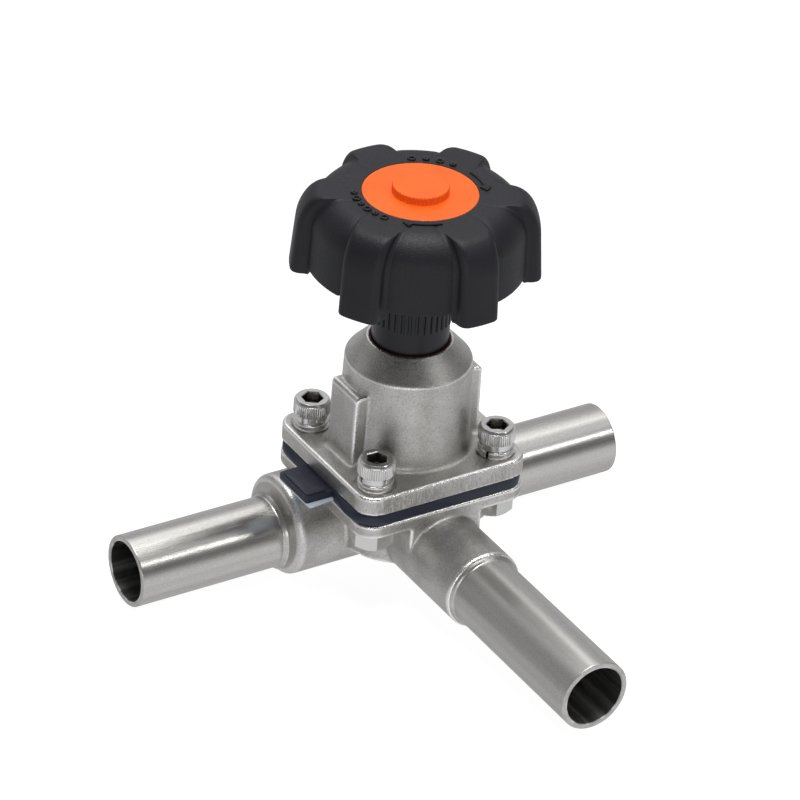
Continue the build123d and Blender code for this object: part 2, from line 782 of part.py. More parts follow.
# Inlaid disc on the wheel and the knurled cap pressed into its middle
with BuildPart() as wheel_disc:
    with BuildSketch(stem_plane(disc_base)):
        Circle(disc_radius)
        Circle(button_spigot_radius + seat_play, mode=Mode.SUBTRACT)
    extrude(amount=disc_thickness)
wheel_disc.part.label = "wheel_disc"
export_step(wheel_disc.part, "parts/wheel_disc.step")

with BuildPart() as wheel_cap:
    with BuildSketch(stem_plane(wheel_top)):
        Circle(button_radius)
    extrude(amount=button_height)
    fillet(wheel_cap.edges().group_by(Axis.Z)[-1], radius=button_edge)
    with BuildSketch(stem_plane(wheel_top)):
        Circle(button_spigot_radius)
    extrude(amount=-disc_thickness)
wheel_cap.part.label = "wheel_cap"
export_step(wheel_cap.part, "parts/wheel_cap.step")

# Cap screws with split spring washers; the shorter rear pair ends in the body's tapped holes
for number, (x, y) in enumerate(bolt_places, start=1):
    with BuildPart() as cap_screw:
        with BuildSketch(Plane((x, y, head_seat))):
            Circle(screw_head_diameter / 2)
        extrude(amount=screw_head_height)
        fillet(cap_screw.edges().group_by(Axis.Z)[-1], radius=screw_head_edge)
        with BuildSketch(Plane((x, y, head_seat))):
            Circle(screw_diameter / 2)
        extrude(amount=-(screw_length if y == front_row else rear_screw_length))
        with BuildSketch(Plane((x, y, head_seat + screw_head_height))):
            RegularPolygon(screw_socket_flats / 2, 6, major_radius=False, rotation=90 * number)
        extrude(amount=-screw_socket_depth, mode=Mode.SUBTRACT)
    cap_screw.part.label = f"cap_screw_{number}"
    export_step(cap_screw.part, f"parts/cap_screw_{number}.step")

    with BuildPart() as spring_washer:
        with BuildSketch(Plane((x, y, spotface))):
            Circle(washer_diameter / 2)
            Circle(bolt_hole_radius, mode=Mode.SUBTRACT)
            with Locations(Location((0, 0), 90 * number)):
                with Locations((washer_diameter / 2, 0)):
                    Rectangle(washer_diameter, washer_split, mode=Mode.SUBTRACT)
        extrude(amount=washer_thickness)
    spring_washer.part.label = f"spring_washer_{number}"
    export_step(spring_washer.part, f"parts/spring_washer_{number}.step")

# Hexagon nuts under the body's flange on the two front screws
for number, (x, y) in enumerate(front_bolts, start=1):
    nut_plane = Plane((x, y, body_flange_base - nut_height))
    with BuildPart() as hex_nut:
        with BuildSketch(nut_plane):
            RegularPolygon(nut_flats / 2, 6, major_radius=False, rotation=nut_turn)
        extrude(amount=nut_height)
        with BuildSketch(nut_plane):
            Circle(nut_flats / 2)
        extrude(amount=nut_height, taper=-nut_chamfer_slope, mode=Mode.INTERSECT)
        with BuildSketch(nut_plane):
            Circle(screw_diameter / 2 + thread_play)
        extrude(amount=nut_height, mode=Mode.SUBTRACT)
    hex_nut.part.label = f"hex_nut_{number}"
    export_step(hex_nut.part, f"parts/hex_nut_{number}.step")
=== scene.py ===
import math

import bpy
import numpy as np
from mathutils import Matrix, Vector


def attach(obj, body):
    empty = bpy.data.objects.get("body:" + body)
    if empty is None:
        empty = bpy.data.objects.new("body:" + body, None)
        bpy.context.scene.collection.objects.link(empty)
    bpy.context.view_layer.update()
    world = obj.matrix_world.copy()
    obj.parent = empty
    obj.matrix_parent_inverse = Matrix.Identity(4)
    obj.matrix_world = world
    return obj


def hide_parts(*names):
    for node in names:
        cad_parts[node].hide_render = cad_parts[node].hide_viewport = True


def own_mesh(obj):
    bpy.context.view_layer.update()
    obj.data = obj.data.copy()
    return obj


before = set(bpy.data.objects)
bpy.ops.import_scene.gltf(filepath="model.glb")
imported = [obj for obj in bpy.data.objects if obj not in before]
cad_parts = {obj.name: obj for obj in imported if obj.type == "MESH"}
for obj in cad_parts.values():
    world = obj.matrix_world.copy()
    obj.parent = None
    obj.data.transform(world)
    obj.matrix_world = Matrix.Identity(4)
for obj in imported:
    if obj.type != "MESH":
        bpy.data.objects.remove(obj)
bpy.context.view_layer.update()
scene = bpy.context.scene

# Lengths are in millimetres; a length times metre is in metres, as meshes and nodes take it.
# The stem axis stands at x = 0, y = stemY; stemPlace moves there what is drawn about the Z axis.
metre = 0.001
stemY = -14.2
fullTurn = 2 * math.pi
stemPlace = np.array(Matrix.Translation((0, stemY, 0)))

# Sizes that finishes follow as well as shapes. Bolts stand at boltX and boltY to either side.
bonnetFlange = {"half": 22.65, "base": 23.6, "top": 28.5}
boltX, boltY, headTop = 18, 16, 36.6
outerRadius, innerRadius = 9.5, 8.0


# Colours and material nodes

def linearColour(code):
    channels = [int(code[i:i + 2], 16) / 255 for i in (1, 3, 5)]
    return [c / 12.92 if c <= 0.04045 else ((c + 0.055) / 1.055) ** 2.4 for c in channels] + [1.0]


def addNode(tree, kind, inputs=(), **settings):
    node = tree.nodes.new(kind)
    for key, value in settings.items():
        setattr(node, key, value)
    for key, value in dict(inputs).items():
        if isinstance(value, bpy.types.NodeSocket):
            tree.links.new(value, node.inputs[key])
        else:
            node.inputs[key].default_value = value
    return node


def objectPoints(tree, scale=(1, 1, 1)):
    source = addNode(tree, "ShaderNodeTexCoord").outputs["Object"]
    return addNode(tree, "ShaderNodeMapping", {"Vector": source, "Scale": scale}).outputs[0]


def noise(tree, points, size, detail, roughness):
    # size is the width of one lump in millimetres
    inputs = {"Vector": points, "Scale": 1 / (size * metre), "Detail": detail, "Roughness": roughness}
    return addNode(tree, "ShaderNodeTexNoise", inputs).outputs["Fac"]


def ramp(tree, value, low, high, toLow=0.0, toHigh=1.0):
    inputs = {"Value": value, "From Min": low, "From Max": high, "To Min": toLow, "To Max": toHigh}
    return addNode(tree, "ShaderNodeMapRange", inputs).outputs[0]


def mixColours(tree, factor, first, second):
    # Each colour is a socket or a hex code
    node = addNode(tree, "ShaderNodeMix", {0: factor}, data_type="RGBA")
    for socket, colour in ((node.inputs[6], first), (node.inputs[7], second)):
        if isinstance(colour, bpy.types.NodeSocket):
            tree.links.new(colour, socket)
        else:
            socket.default_value = linearColour(colour)
    return node.outputs[2]


def arithmetic(tree, operation, *values):
    return addNode(tree, "ShaderNodeMath", dict(enumerate(values)), operation=operation).outputs[0]


def vectorMath(tree, operation, *values):
    node = addNode(tree, "ShaderNodeVectorMath", dict(enumerate(values)), operation=operation)
    return node.outputs["Value" if operation in ("LENGTH", "DOT_PRODUCT") else "Vector"]


def newMaterial(name, baseColour, metallic, roughness, specular=0.5):
    material = bpy.data.materials.new(name)
    material.use_nodes = True
    tree = material.node_tree
    shader = tree.nodes["Principled BSDF"]
    shader.inputs["Base Color"].default_value = linearColour(baseColour)
    shader.inputs["Metallic"].default_value = metallic
    shader.inputs["Roughness"].default_value = roughness
    shader.inputs["Specular IOR Level"].default_value = specular
    return material, tree, shader


def bump(tree, shader, height, depth, after=None):
    # depth is the height of the relief in millimetres
    inputs = {"Height": height, "Distance": depth * metre, "Strength": 1.0}
    if after is not None:
        inputs["Normal"] = after
    node = addNode(tree, "ShaderNodeBump", inputs)
    tree.links.new(node.outputs[0], shader.inputs["Normal"])
    return node.outputs[0]


def castSteel():
    # Bead-blasted investment casting: light warm grey with dark pits and lighter dots, and a painted
    # highlight on its convex edges; upright grinding marks where the gate was cut from the bonnet
    # flange's sides. Real peening is about 0.1 mm wide; it is drawn 0.38 mm wide, or it wouldn't show.
    material, tree, shader = newMaterial("castSteel", "#bdbbb6", 1.0, 0.42)
    points = objectPoints(tree)
    peening = noise(tree, points, 0.38, 2.0, 0.7)
    skin = noise(tree, points, 2.2, 3.0, 0.6)
    clouds = noise(tree, points, 9.0, 3.0, 0.55)
    strokes = noise(tree, objectPoints(tree, (1, 1, 0.10)), 0.5, 2.0, 0.7)
    _, across, height = addNode(tree, "ShaderNodeSeparateXYZ", {0: points}).outputs
    sideways = arithmetic(tree, "ABSOLUTE", arithmetic(tree, "SUBTRACT", across, stemY * metre))
    half, base, top = bonnetFlange["half"], bonnetFlange["base"], bonnetFlange["top"]
    side = ramp(tree, sideways, (half - 0.2) * metre, half * metre)
    side = arithmetic(tree, "MULTIPLY", side, ramp(tree, height, base * metre, (base + 1.0) * metre))
    side = arithmetic(tree, "MULTIPLY", side, ramp(tree, height, (top + 0.4) * metre, top * metre))
    ground = arithmetic(tree, "MULTIPLY", ramp(tree, strokes, 0.52, 0.62), side)
    ridge = addNode(tree, "ShaderNodeAttribute", attribute_name="ridge").outputs["Fac"]
    # Painted highlight: where the ridge value is high, on convex edges, the base colour is lightened
    # towards near white
    edgeHighlight = ramp(tree, ridge, 0.007, 0.026)
    highlightAndGrinding = arithmetic(tree, "MAXIMUM", edgeHighlight, arithmetic(tree, "MULTIPLY", ground, 0.35))
    tint = mixColours(tree, ramp(tree, clouds, 0.35, 0.65), "#b9b6b2", "#d1cfca")
    pitted = mixColours(tree, ramp(tree, peening, 0.32, 0.46, 0.6, 0.0), tint, "#7f7d7a")
    speckled = mixColours(tree, ramp(tree, peening, 0.54, 0.70, 0.0, 0.40), pitted, "#efedea")
    # The painted edge highlight and the real grinding marks both lighten the colour towards near white
    tree.links.new(mixColours(tree, highlightAndGrinding, speckled, "#fbf9f6"), shader.inputs["Base Color"])
    grain = ramp(tree, peening, 0.3, 0.7, 0.31, 0.45)
    smooth = arithmetic(tree, "MULTIPLY", edgeHighlight, 0.13)
    tree.links.new(arithmetic(tree, "SUBTRACT", grain, smooth), shader.inputs["Roughness"])
    rough = bump(tree, shader, skin, 0.08)
    rough = bump(tree, shader, peening, 0.085, rough)
    bump(tree, shader, ground, 0.12, rough)
    return material


def drawnSteel(name, along, height, satin, scratch):
    # Satin tube: fine scratches drawn out along the tube, so highlights run as long streaks; the
    # bore is painted darker as shade, with a few painted bright streaks of reflection. Real scratches
    # are finer than the 0.16 mm drawn.
    # along is the tube's axis, height its level, satin its roughness and scratch their depth in mm.
    material, tree, shader = newMaterial(name, "#bab8b4", 1.0, 0.24)
    drawn = [0.01 if i == along else 1.0 for i in range(3)]
    offAxis = [0.0 if i == along else 1.0 for i in range(3)]
    hairline = noise(tree, objectPoints(tree, drawn), 0.16, 2.0, 0.6)
    bands = noise(tree, objectPoints(tree, drawn), 2.5, 2.0, 0.5)
    smudge = noise(tree, objectPoints(tree), 12.0, 2.0, 0.5)
    grain = noise(tree, objectPoints(tree), 0.38, 2.0, 0.6)
    source = addNode(tree, "ShaderNodeTexCoord").outputs["Object"]
    fromAxis = vectorMath(tree, "MULTIPLY_ADD", source, offAxis, (0, 0, -height * metre))
    radius = vectorMath(tree, "LENGTH", fromAxis)
    inside = ramp(tree, radius, (innerRadius + 0.1) * metre, (innerRadius + 0.5) * metre, 1.0, 0.0)
    tint = mixColours(tree, ramp(tree, bands, 0.3, 0.7), "#b4b2ad", "#cbc9c4")
    tint = mixColours(tree, ramp(tree, grain, 0.42, 0.66, 0.0, 0.35), tint, "#e4e2de")
    # Painted shade and painted reflection: the bore's colour runs from a darker grey to near-white streaks
    bore = mixColours(tree, ramp(tree, bands, 0.46, 0.62), "#a09f9d", "#f2f1ef")
    tree.links.new(mixColours(tree, inside, tint, bore), shader.inputs["Base Color"])
    brushed = ramp(tree, hairline, 0.3, 0.7, satin - 0.02, satin + 0.02)
    brushed = arithmetic(tree, "ADD", brushed, ramp(tree, smudge, 0.35, 0.65, 0.0, 0.04))
    brushed = arithmetic(tree, "ADD", brushed, arithmetic(tree, "MULTIPLY", inside, 0.06))
    tree.links.new(brushed, shader.inputs["Roughness"])
    bump(tree, shader, hairline, scratch)
    return material


def brightSteel():
    # Polished M6 fasteners: clean highlights, barely any texture, and painted shade down in the sockets.
    # abs(x), abs(y) folds the four screws onto one.
    material, tree, shader = newMaterial("brightSteel", "#dddcda", 1.0, 0.20)
    points = objectPoints(tree)
    lumps = noise(tree, points, 0.9, 2.0, 0.5)
    centred = vectorMath(tree, "SUBTRACT", points, (0, stemY * metre, 0))
    folded = vectorMath(tree, "ABSOLUTE", centred)
    screwPlace = (-boltX * metre, -boltY * metre, 0)
    fromScrew = vectorMath(tree, "MULTIPLY_ADD", folded, (1, 1, 0), screwPlace)
    height = addNode(tree, "ShaderNodeSeparateXYZ", {0: points}).outputs["Z"]
    # Painted shade: inside each socket, below the head's top, the colour is darkened
    socketShade = ramp(tree, vectorMath(tree, "LENGTH", fromScrew), 3.0 * metre, 2.8 * metre)
    shadeFrom, shadeFull = (headTop - 0.2) * metre, (headTop - 1.0) * metre
    socketShade = arithmetic(tree, "MULTIPLY", socketShade, ramp(tree, height, shadeFrom, shadeFull))
    tree.links.new(mixColours(tree, socketShade, "#dddcda", "#918d89"), shader.inputs["Base Color"])
    tree.links.new(ramp(tree, lumps, 0.3, 0.7, 0.16, 0.25), shader.inputs["Roughness"])
    bump(tree, shader, lumps, 0.003)
    return material


def turnedMetal(name, colour, roughness):
    # Lathe-turned part: close rings across the stem's axis
    material, tree, shader = newMaterial(name, colour, 1.0, roughness)
    rings = noise(tree, objectPoints(tree, (0.02, 0.02, 1.0)), 0.12, 1.0, 0.4)
    sheen = ramp(tree, rings, 0.3, 0.7, roughness - 0.07, roughness + 0.08)
    tree.links.new(sheen, shader.inputs["Roughness"])
    bump(tree, shader, rings, 0.008)
    return material


def mouldedPlastic(name, colour, pale, roughness, grain, depth):
    # Spark-eroded moulding: matt, with an even grain that catches the light on crowns. The grain
    # is drawn two to three times as coarse as the real one, or it wouldn't show.
    material, tree, shader = newMaterial(name, colour, 0.0, roughness, 0.37)
    points = objectPoints(tree)
    texture = noise(tree, points, grain, 2.0, 0.6)
    clouds = noise(tree, points, 11.0, 2.0, 0.5)
    tint = mixColours(tree, ramp(tree, clouds, 0.3, 0.7), colour, pale)
    tree.links.new(tint, shader.inputs["Base Color"])
    sheen = ramp(tree, texture, 0.3, 0.7, roughness - 0.06, roughness + 0.06)
    tree.links.new(sheen, shader.inputs["Roughness"])
    bump(tree, shader, texture, depth)
    return material


castMaterial = castSteel()
# The run tubes mirror the room in long streaks; the branch tube is duller and more scratched
runTubeMaterial = drawnSteel("runTubeSteel", 0, 0.0, 0.235, 0.00004)
branchTubeMaterial = drawnSteel("branchTubeSteel", 1, 6.5, 0.33, 0.0012)
fastenerMaterial = brightSteel()
# Grey steel and yellowish bronze of the parts inside
innerMaterial = turnedMetal("turnedSteel", "#a9a9a9", 0.30)
bronzeMaterial = turnedMetal("turnedBronze", "#b08a52", 0.34)
# The wheel is matt black with a grain, the sleeve smoother, the marks glossy
wheelMaterial = mouldedPlastic("blackPolyamide", "#16161c", "#1b1b22", 0.50, 0.45, 0.060)
sleeveMaterial = mouldedPlastic("satinBlackSleeve", "#141418", "#19191d", 0.34, 0.30, 0.008)
markMaterial = mouldedPlastic("glossyBlackMarks", "#141416", "#18181a", 0.20, 0.50, 0.004)
# A strong orange with a soft sheen
orangeMaterial = mouldedPlastic("orangePlastic", "#f7630c", "#fa6b13", 0.46, 0.40, 0.012)
# Dull navy rubber, milky pale blue facing and a brownish red ring
rubberMaterial = mouldedPlastic("navyRubber", "#262939", "#2d3143", 0.44, 0.50, 0.016)
facingMaterial = mouldedPlastic("ptfeFacing", "#c9d6e2", "#d8e1ea", 0.38, 0.60, 0.010)
ringMaterial = mouldedPlastic("darkRedRing", "#5a1a14", "#6b2218", 0.42, 0.50, 0.010)
print("stage: materials made")


# Mesh code

def meshOf(sheets):
    # Each sheet is a grid of points, rows by columns, with its two wraps; coincident points are merged
    points, faces, start = [], [], 0
    for grid, wrapRows, wrapColumns in sheets:
        rows, columns = grid.shape[:2]
        index = start + np.arange(rows * columns).reshape(rows, columns)
        if wrapRows:
            index = np.vstack([index, index[:1]])
        if wrapColumns:
            index = np.hstack([index, index[:, :1]])
        corners = [index[:-1, :-1], index[:-1, 1:], index[1:, 1:], index[1:, :-1]]
        faces.append(np.stack(corners, -1).reshape(-1, 4))
        points.append(grid.reshape(-1, 3))
        start += rows * columns
    allPoints = np.vstack(points)
    _, first, back = np.unique(np.round(allPoints, 4), axis=0, return_index=True, return_inverse=True)
    allFaces = back.reshape(-1)[np.vstack(faces)]
    return allPoints[first], allFaces


def outward(points, quads):
    # The signed volume under the faces is negative when they look inwards
    corners = points[quads]
    volume = np.einsum("ij,ij->i", corners[:, 0], np.cross(corners[:, 1], corners[:, 2]))
    volume += np.einsum("ij,ij->i", corners[:, 0], np.cross(corners[:, 2], corners[:, 3]))
    return quads if volume.sum() > 0 else quads[:, ::-1]


def makePiece(name, sheets, body, material, replaced=(), place=stemPlace, sharp=40):
    points, quads = meshOf(sheets)
    quads = outward(points, quads)
    # Quads with two corners merged become triangles, and those with more are left out
    same = quads == np.roll(quads, -1, axis=1)
    whole = quads[same.sum(1) == 0]
    pinched = quads[same.sum(1) == 1]
    keep = ~same[same.sum(1) == 1]
    corners = whole.tolist() + pinched[keep].reshape(-1, 3).tolist()
    points = (points @ place[:3, :3].T + place[:3, 3]) * metre
    mesh = bpy.data.meshes.new(name)
    mesh.from_pydata(points.tolist(), [], corners)
    mesh.shade_smooth()
    mesh.set_sharp_from_angle(angle=math.radians(sharp))
    mesh.materials.append(material)
    piece = bpy.data.objects.new(name, mesh)
    scene.collection.objects.link(piece)
    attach(piece, body)
    if replaced:
        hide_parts(*replaced)
    return piece


def roundedLine(corners, closed=False, steps=5, support=0.6):
    # Points (a, b) or (a, b, radius) joined by straight runs, each radius turned into an arc; a
    # support point just outside each end of an arc keeps the shading of the flat beside it flat
    spots = [(*c, 0.0)[:3] for c in corners]
    result = []
    for i, (a, b, radius) in enumerate(spots):
        ends = not closed and i in (0, len(spots) - 1)
        if radius <= 0 or ends:
            result.append((a, b))
            continue
        here = np.array((a, b))
        before = np.array(spots[i - 1][:2]) - here
        after = np.array(spots[(i + 1) % len(spots)][:2]) - here
        beforeLength, afterLength = np.linalg.norm(before), np.linalg.norm(after)
        before /= beforeLength
        after /= afterLength
        half = math.acos(np.clip(before @ after, -1, 1)) / 2
        middle = before + after
        centre = here + middle / np.linalg.norm(middle) * radius / math.sin(half)
        reach = radius / math.tan(half)
        first, last = here + before * reach - centre, here + after * reach - centre
        sweep = math.atan2(first[0] * last[1] - first[1] * last[0], first @ last)
        outer = reach * (1 + support)
        if support and beforeLength > 2.5 * outer:
            result.append(tuple(here + before * outer))
        for t in np.linspace(0, sweep, steps + 1):
            turn = np.array([[math.cos(t), -math.sin(t)], [math.sin(t), math.cos(t)]])
            result.append(tuple(centre + turn @ first))
        if support and afterLength > 2.5 * outer:
            result.append(tuple(here + after * outer))
    return np.array(result)


def softCurve(start, end, startWay, endWay, steps):
    # Cubic between two points with the given end directions, as long at each end as the chord
    t = np.linspace(0, 1, steps)[:, None]
    start, end = np.array(start, float), np.array(end, float)
    chord = np.linalg.norm(end - start)
    startWay = np.array(startWay) / np.linalg.norm(startWay) * chord
    endWay = np.array(endWay) / np.linalg.norm(endWay) * chord
    return (
        (2 * t**3 - 3 * t**2 + 1) * start + (t**3 - 2 * t**2 + t) * startWay
        + (3 * t**2 - 2 * t**3) * end + (t**3 - t**2) * endWay
    )


def evenTurn(count):
    return np.linspace(0, fullTurn, count, endpoint=False)


def polar(radius, angle, height, centre=(0, 0)):
    # Points at a radius and an angle round an upright axis through centre
    x, y = centre[0] + radius * np.cos(angle), centre[1] + radius * np.sin(angle)
    return np.stack([x, y, height + 0 * x], -1)


def revolved(line, columns=96, wrapRows=True):
    # A line of (radius, height) turned about the local Z axis
    return polar(line[:, :1], evenTurn(columns), line[:, 1:]), wrapRows, True


def axisPlace(origin, direction):
    # Local Z goes along direction
    turn = Vector(direction).to_track_quat("Z", "Y").to_matrix().to_4x4()
    return np.array(Matrix.Translation(origin) @ turn)


# Tubes: one closed section turned round, from inside the socket out to the square-cut end

tubes = [
    {"name": "runTubeLeft", "node": "run_tube_left", "origin": (0, 0, 0), "way": (-1, 0, 0),
     "neck": 30.0, "end": 72.3, "material": runTubeMaterial},
    {"name": "runTubeRight", "node": "run_tube_right", "origin": (0, 0, 0), "way": (1, 0, 0),
     "neck": 30.0, "end": 72.3, "material": runTubeMaterial},
    {"name": "branchTube", "node": "branch_tube", "origin": (0, stemY, 6.5), "way": (0, -1, 0),
     "neck": 42.0, "end": 92.7, "material": branchTubeMaterial},
]
socketDepth, beadLeg = 5.0, 1.1
beadEnd = 0.9 * beadLeg
for tube in tubes:
    neck, end = tube["neck"], tube["end"]
    section = roundedLine([
        (innerRadius, neck - socketDepth),
        (innerRadius, end, 0.18),
        (outerRadius, end, 0.22),
        (outerRadius, neck + beadEnd + 0.4),
        (outerRadius, neck + beadEnd),
        (outerRadius + 0.10 * beadLeg, neck + 0.75 * beadLeg, 0.25),
        (outerRadius + 0.45 * beadLeg, neck + 0.45 * beadLeg, 0.45),
        (outerRadius + 0.75 * beadLeg, neck),
        (outerRadius, neck),
        (outerRadius, neck - socketDepth),
    ], closed=True)
    makePiece(
        tube["name"], [revolved(section, 128)], "valve", tube["material"],
        [tube["node"]], axisPlace(tube["origin"], tube["way"]), 50,
    )
print("stage: tubes made")


# Castings: a merged copy of the CAD mesh, remeshed and smoothed so that every edge is a cast one

def markRidges(mesh):
    # ridge = distance in mm that a vertex stands out beyond the middle of its neighbours,
    # evened out twice with that of the neighbours
    count = len(mesh.vertices)
    spots, normals = np.empty(count * 3), np.empty(count * 3)
    ends = np.empty(len(mesh.edges) * 2, dtype=np.int64)
    mesh.vertices.foreach_get("co", spots)
    mesh.vertices.foreach_get("normal", normals)
    mesh.edges.foreach_get("vertices", ends)
    spots, normals, ends = spots.reshape(-1, 3), normals.reshape(-1, 3), ends.reshape(-1, 2)
    both = np.concatenate([ends, ends[:, ::-1]])
    share = np.bincount(both[:, 0], minlength=count).clip(1)

    def around(values):
        return np.bincount(both[:, 0], weights=values[both[:, 1]], minlength=count) / share

    middle = np.stack([around(spots[:, i]) for i in range(3)], -1)
    ridge = np.einsum("ij,ij->i", spots - middle, normals) / metre
    for _ in range(2):
        ridge = 0.5 * ridge + 0.5 * around(ridge)
    layer = mesh.attributes.new("ridge", "FLOAT", "POINT")
    layer.data.foreach_set("value", ridge)


castings = [
    {"name": "castBody", "node": "valve_body", "voxel": 0.40, "rounds": 2},
    {"name": "castBonnet", "node": "bonnet", "voxel": 0.36, "rounds": 2},
]
for casting in castings:
    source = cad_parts[casting["node"]]
    mesh = source.data.copy()
    mesh.name = casting["name"]
    piece = bpy.data.objects.new(casting["name"], mesh)
    scene.collection.objects.link(piece)
    piece.matrix_world = source.matrix_world.copy()
    weld = piece.modifiers.new("weld", "WELD")
    weld.merge_threshold = 0.002 * metre
    remesh = piece.modifiers.new("remesh", "REMESH")
    remesh.mode = "VOXEL"
    remesh.voxel_size = casting["voxel"] * metre
    soften = piece.modifiers.new("soften", "SMOOTH")
    soften.factor = 0.5
    soften.iterations = casting["rounds"]
    bpy.context.view_layer.update()
    evaluated = piece.evaluated_get(bpy.context.evaluated_depsgraph_get())
    shaped = bpy.data.meshes.new_from_object(evaluated)
    piece.modifiers.clear()
    piece.data = shaped
    shaped.name = casting["name"]
    shaped.transform(piece.matrix_world)
    piece.matrix_world = Matrix.Identity(4)
    shaped.shade_smooth()
    shaped.materials.clear()
    shaped.materials.append(castMaterial)
    markRidges(shaped)
    bpy.data.meshes.remove(mesh)
    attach(piece, "valve")
    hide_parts(casting["node"])
    print("stage:", casting["name"], len(shaped.polygons), "faces")


# Handwheel. Every row of the grid is one level of two profiles, the recess between lobes and the
# lobe; each column lies at a lateral distance from its lobe's flank and takes a share of the two
# profiles, so that the flanks stay straight and parallel while the wheel stays round.

wheel = {
    "lobes": 6, "turn": 30.0, "halfWidth": 5.45, "wall": 2.3, "straightFrom": 19.0, "top": 101.0,
    "roof": 98.7, "hubRadius": 12.0, "discRadius": 14.75, "ribHalf": 0.9, "ribReach": 25.5, "ribBase": 87.0,
}
# A profile's points are (radius, height); fall and rise are the directions at the knees
recess = {
    "brow": 19.8, "knee": (27.6, 93.2), "fall": (0.4, -11.8), "foot": (27.98, 81.9),
    "lip": [(27.96, 81.62), (27.86, 81.46), (27.6, 81.4), (26.1, 81.4), (25.8, 81.46)],
    "innerFoot": (25.7, 81.7), "innerKnee": (25.3, 92.6), "rise": (-0.4, 9.0), "innerBrow": 19.0,
}
lobe = {
    "brow": 24.4, "knee": (30.8, 91.8), "fall": (1.0, -12.6), "foot": (31.76, 79.9),
    "lip": [(31.74, 79.5), (31.58, 79.28), (31.2, 79.2), (29.8, 79.2), (29.55, 79.28)],
    "innerFoot": (29.45, 79.5), "innerKnee": (28.4, 91.2), "rise": (-0.8, 9.0), "innerBrow": 22.0,
}
# A shallow groove runs along each flank, and the skirt's foot is notched beside it
groove = {"depth": 0.14, "at": 0.8, "width": 0.6, "fullFrom": 1.5}
notch = {"height": 0.45, "at": 1.2, "width": 0.55, "below": 83.0, "over": 1.6}
flatFoot = {"below": 88.0, "over": 6.0, "beyond": 20.0, "fullFrom": 0.05}


def outerLine(shape):
    # Flat top, rounded brow, skirt and the outer part of the lip
    brow = (shape["brow"], wheel["top"])
    return np.vstack([
        np.linspace((wheel["discRadius"], wheel["top"]), brow, 5)[:-1],
        softCurve(brow, shape["knee"], (1, 0), shape["fall"], 20),
        np.linspace(shape["knee"], shape["foot"], 11)[1:],
        shape["lip"][:3],
    ])


def innerLine(shape):
    # The inner part of the lip, the skirt and the brow from inside, and the roof up to the hub
    brow = (shape["innerBrow"], wheel["roof"])
    return np.vstack([
        shape["lip"][3:],
        np.linspace(shape["innerFoot"], shape["innerKnee"], 9),
        softCurve(shape["innerKnee"], brow, shape["rise"], (-1, 0), 12)[1:],
        np.linspace(brow, (wheel["hubRadius"], wheel["roof"]), 4)[1:],
    ])


recessOut, lobeOut = outerLine(recess), outerLine(lobe)
recessIn, lobeIn = innerLine(recess), innerLine(lobe)
ribIn = recessIn.copy()
aboveRib = recessIn[:, 1] > wheel["ribBase"]
ribIn[aboveRib, 0] = np.linspace(wheel["ribReach"], wheel["hubRadius"], aboveRib.sum())
ribIn[aboveRib, 1] = wheel["ribBase"]
# Down the hub, round its foot, up the stepped bore and out beneath the disc
hub, rim = wheel["hubRadius"], wheel["discRadius"]
hubLine = np.array([
    (hub, 86.0), (hub, 80.3), (hub - 0.3, 80.0), (10.2, 80.0), (9.93, 80.2), (9.93, 84.0),
    (8.02, 84.0), (8.02, 93.0), (7.0, 93.0), (7.0, 98.8), (rim, 98.8), (rim, 100.85),
])

# Columns of half a sector: crown and flank of the lobe, the recess, then the rib in its middle.
# lateral is the distance beyond the flank, alongRecess the share of the way from flank to rib,
# fromRib the distance from the rib's middle.
lobeHeight, crownEnd, flankEnd = 3.9, -2.6, 1.9
flankShape = roundedLine(
    [(crownEnd, lobeHeight), (-0.06, lobeHeight, 2.0), (0.06, 0.0, 1.2), (flankEnd, 0.0)],
    steps=8, support=0,
)
crown = np.linspace(-wheel["halfWidth"], crownEnd, 6)[:-1]
recessSteps = np.linspace(0, 1, 8)[1:]
ribHalf = wheel["ribHalf"]
ribDistance = [ribHalf + 0.25, ribHalf + 0.1, ribHalf, 0.5, 0.0]
beforeRecess = len(crown) + len(flankShape)
beforeRib = beforeRecess + len(recessSteps)
columnCount = beforeRib + len(ribDistance)
lateral = np.full(columnCount, flankEnd)
lateral[:beforeRecess] = np.concatenate([crown, flankShape[:, 0]])
lobeShare = np.zeros(columnCount)
lobeShare[:beforeRecess] = np.concatenate([np.ones(len(crown)), flankShape[:, 1] / lobeHeight])
grooveShare = np.exp(-(((lateral - groove["at"]) / groove["width"]) ** 2))
grooveShare[beforeRecess:] = 0.0
alongRecess = np.concatenate([np.zeros(beforeRecess), recessSteps, np.ones(len(ribDistance))])
fromRib = np.concatenate([np.full(beforeRib, ribHalf + 0.4), ribDistance])
ribShare = np.concatenate([np.zeros(beforeRib), [0.06, 0.5, 1.0, 1.0, 1.0]])


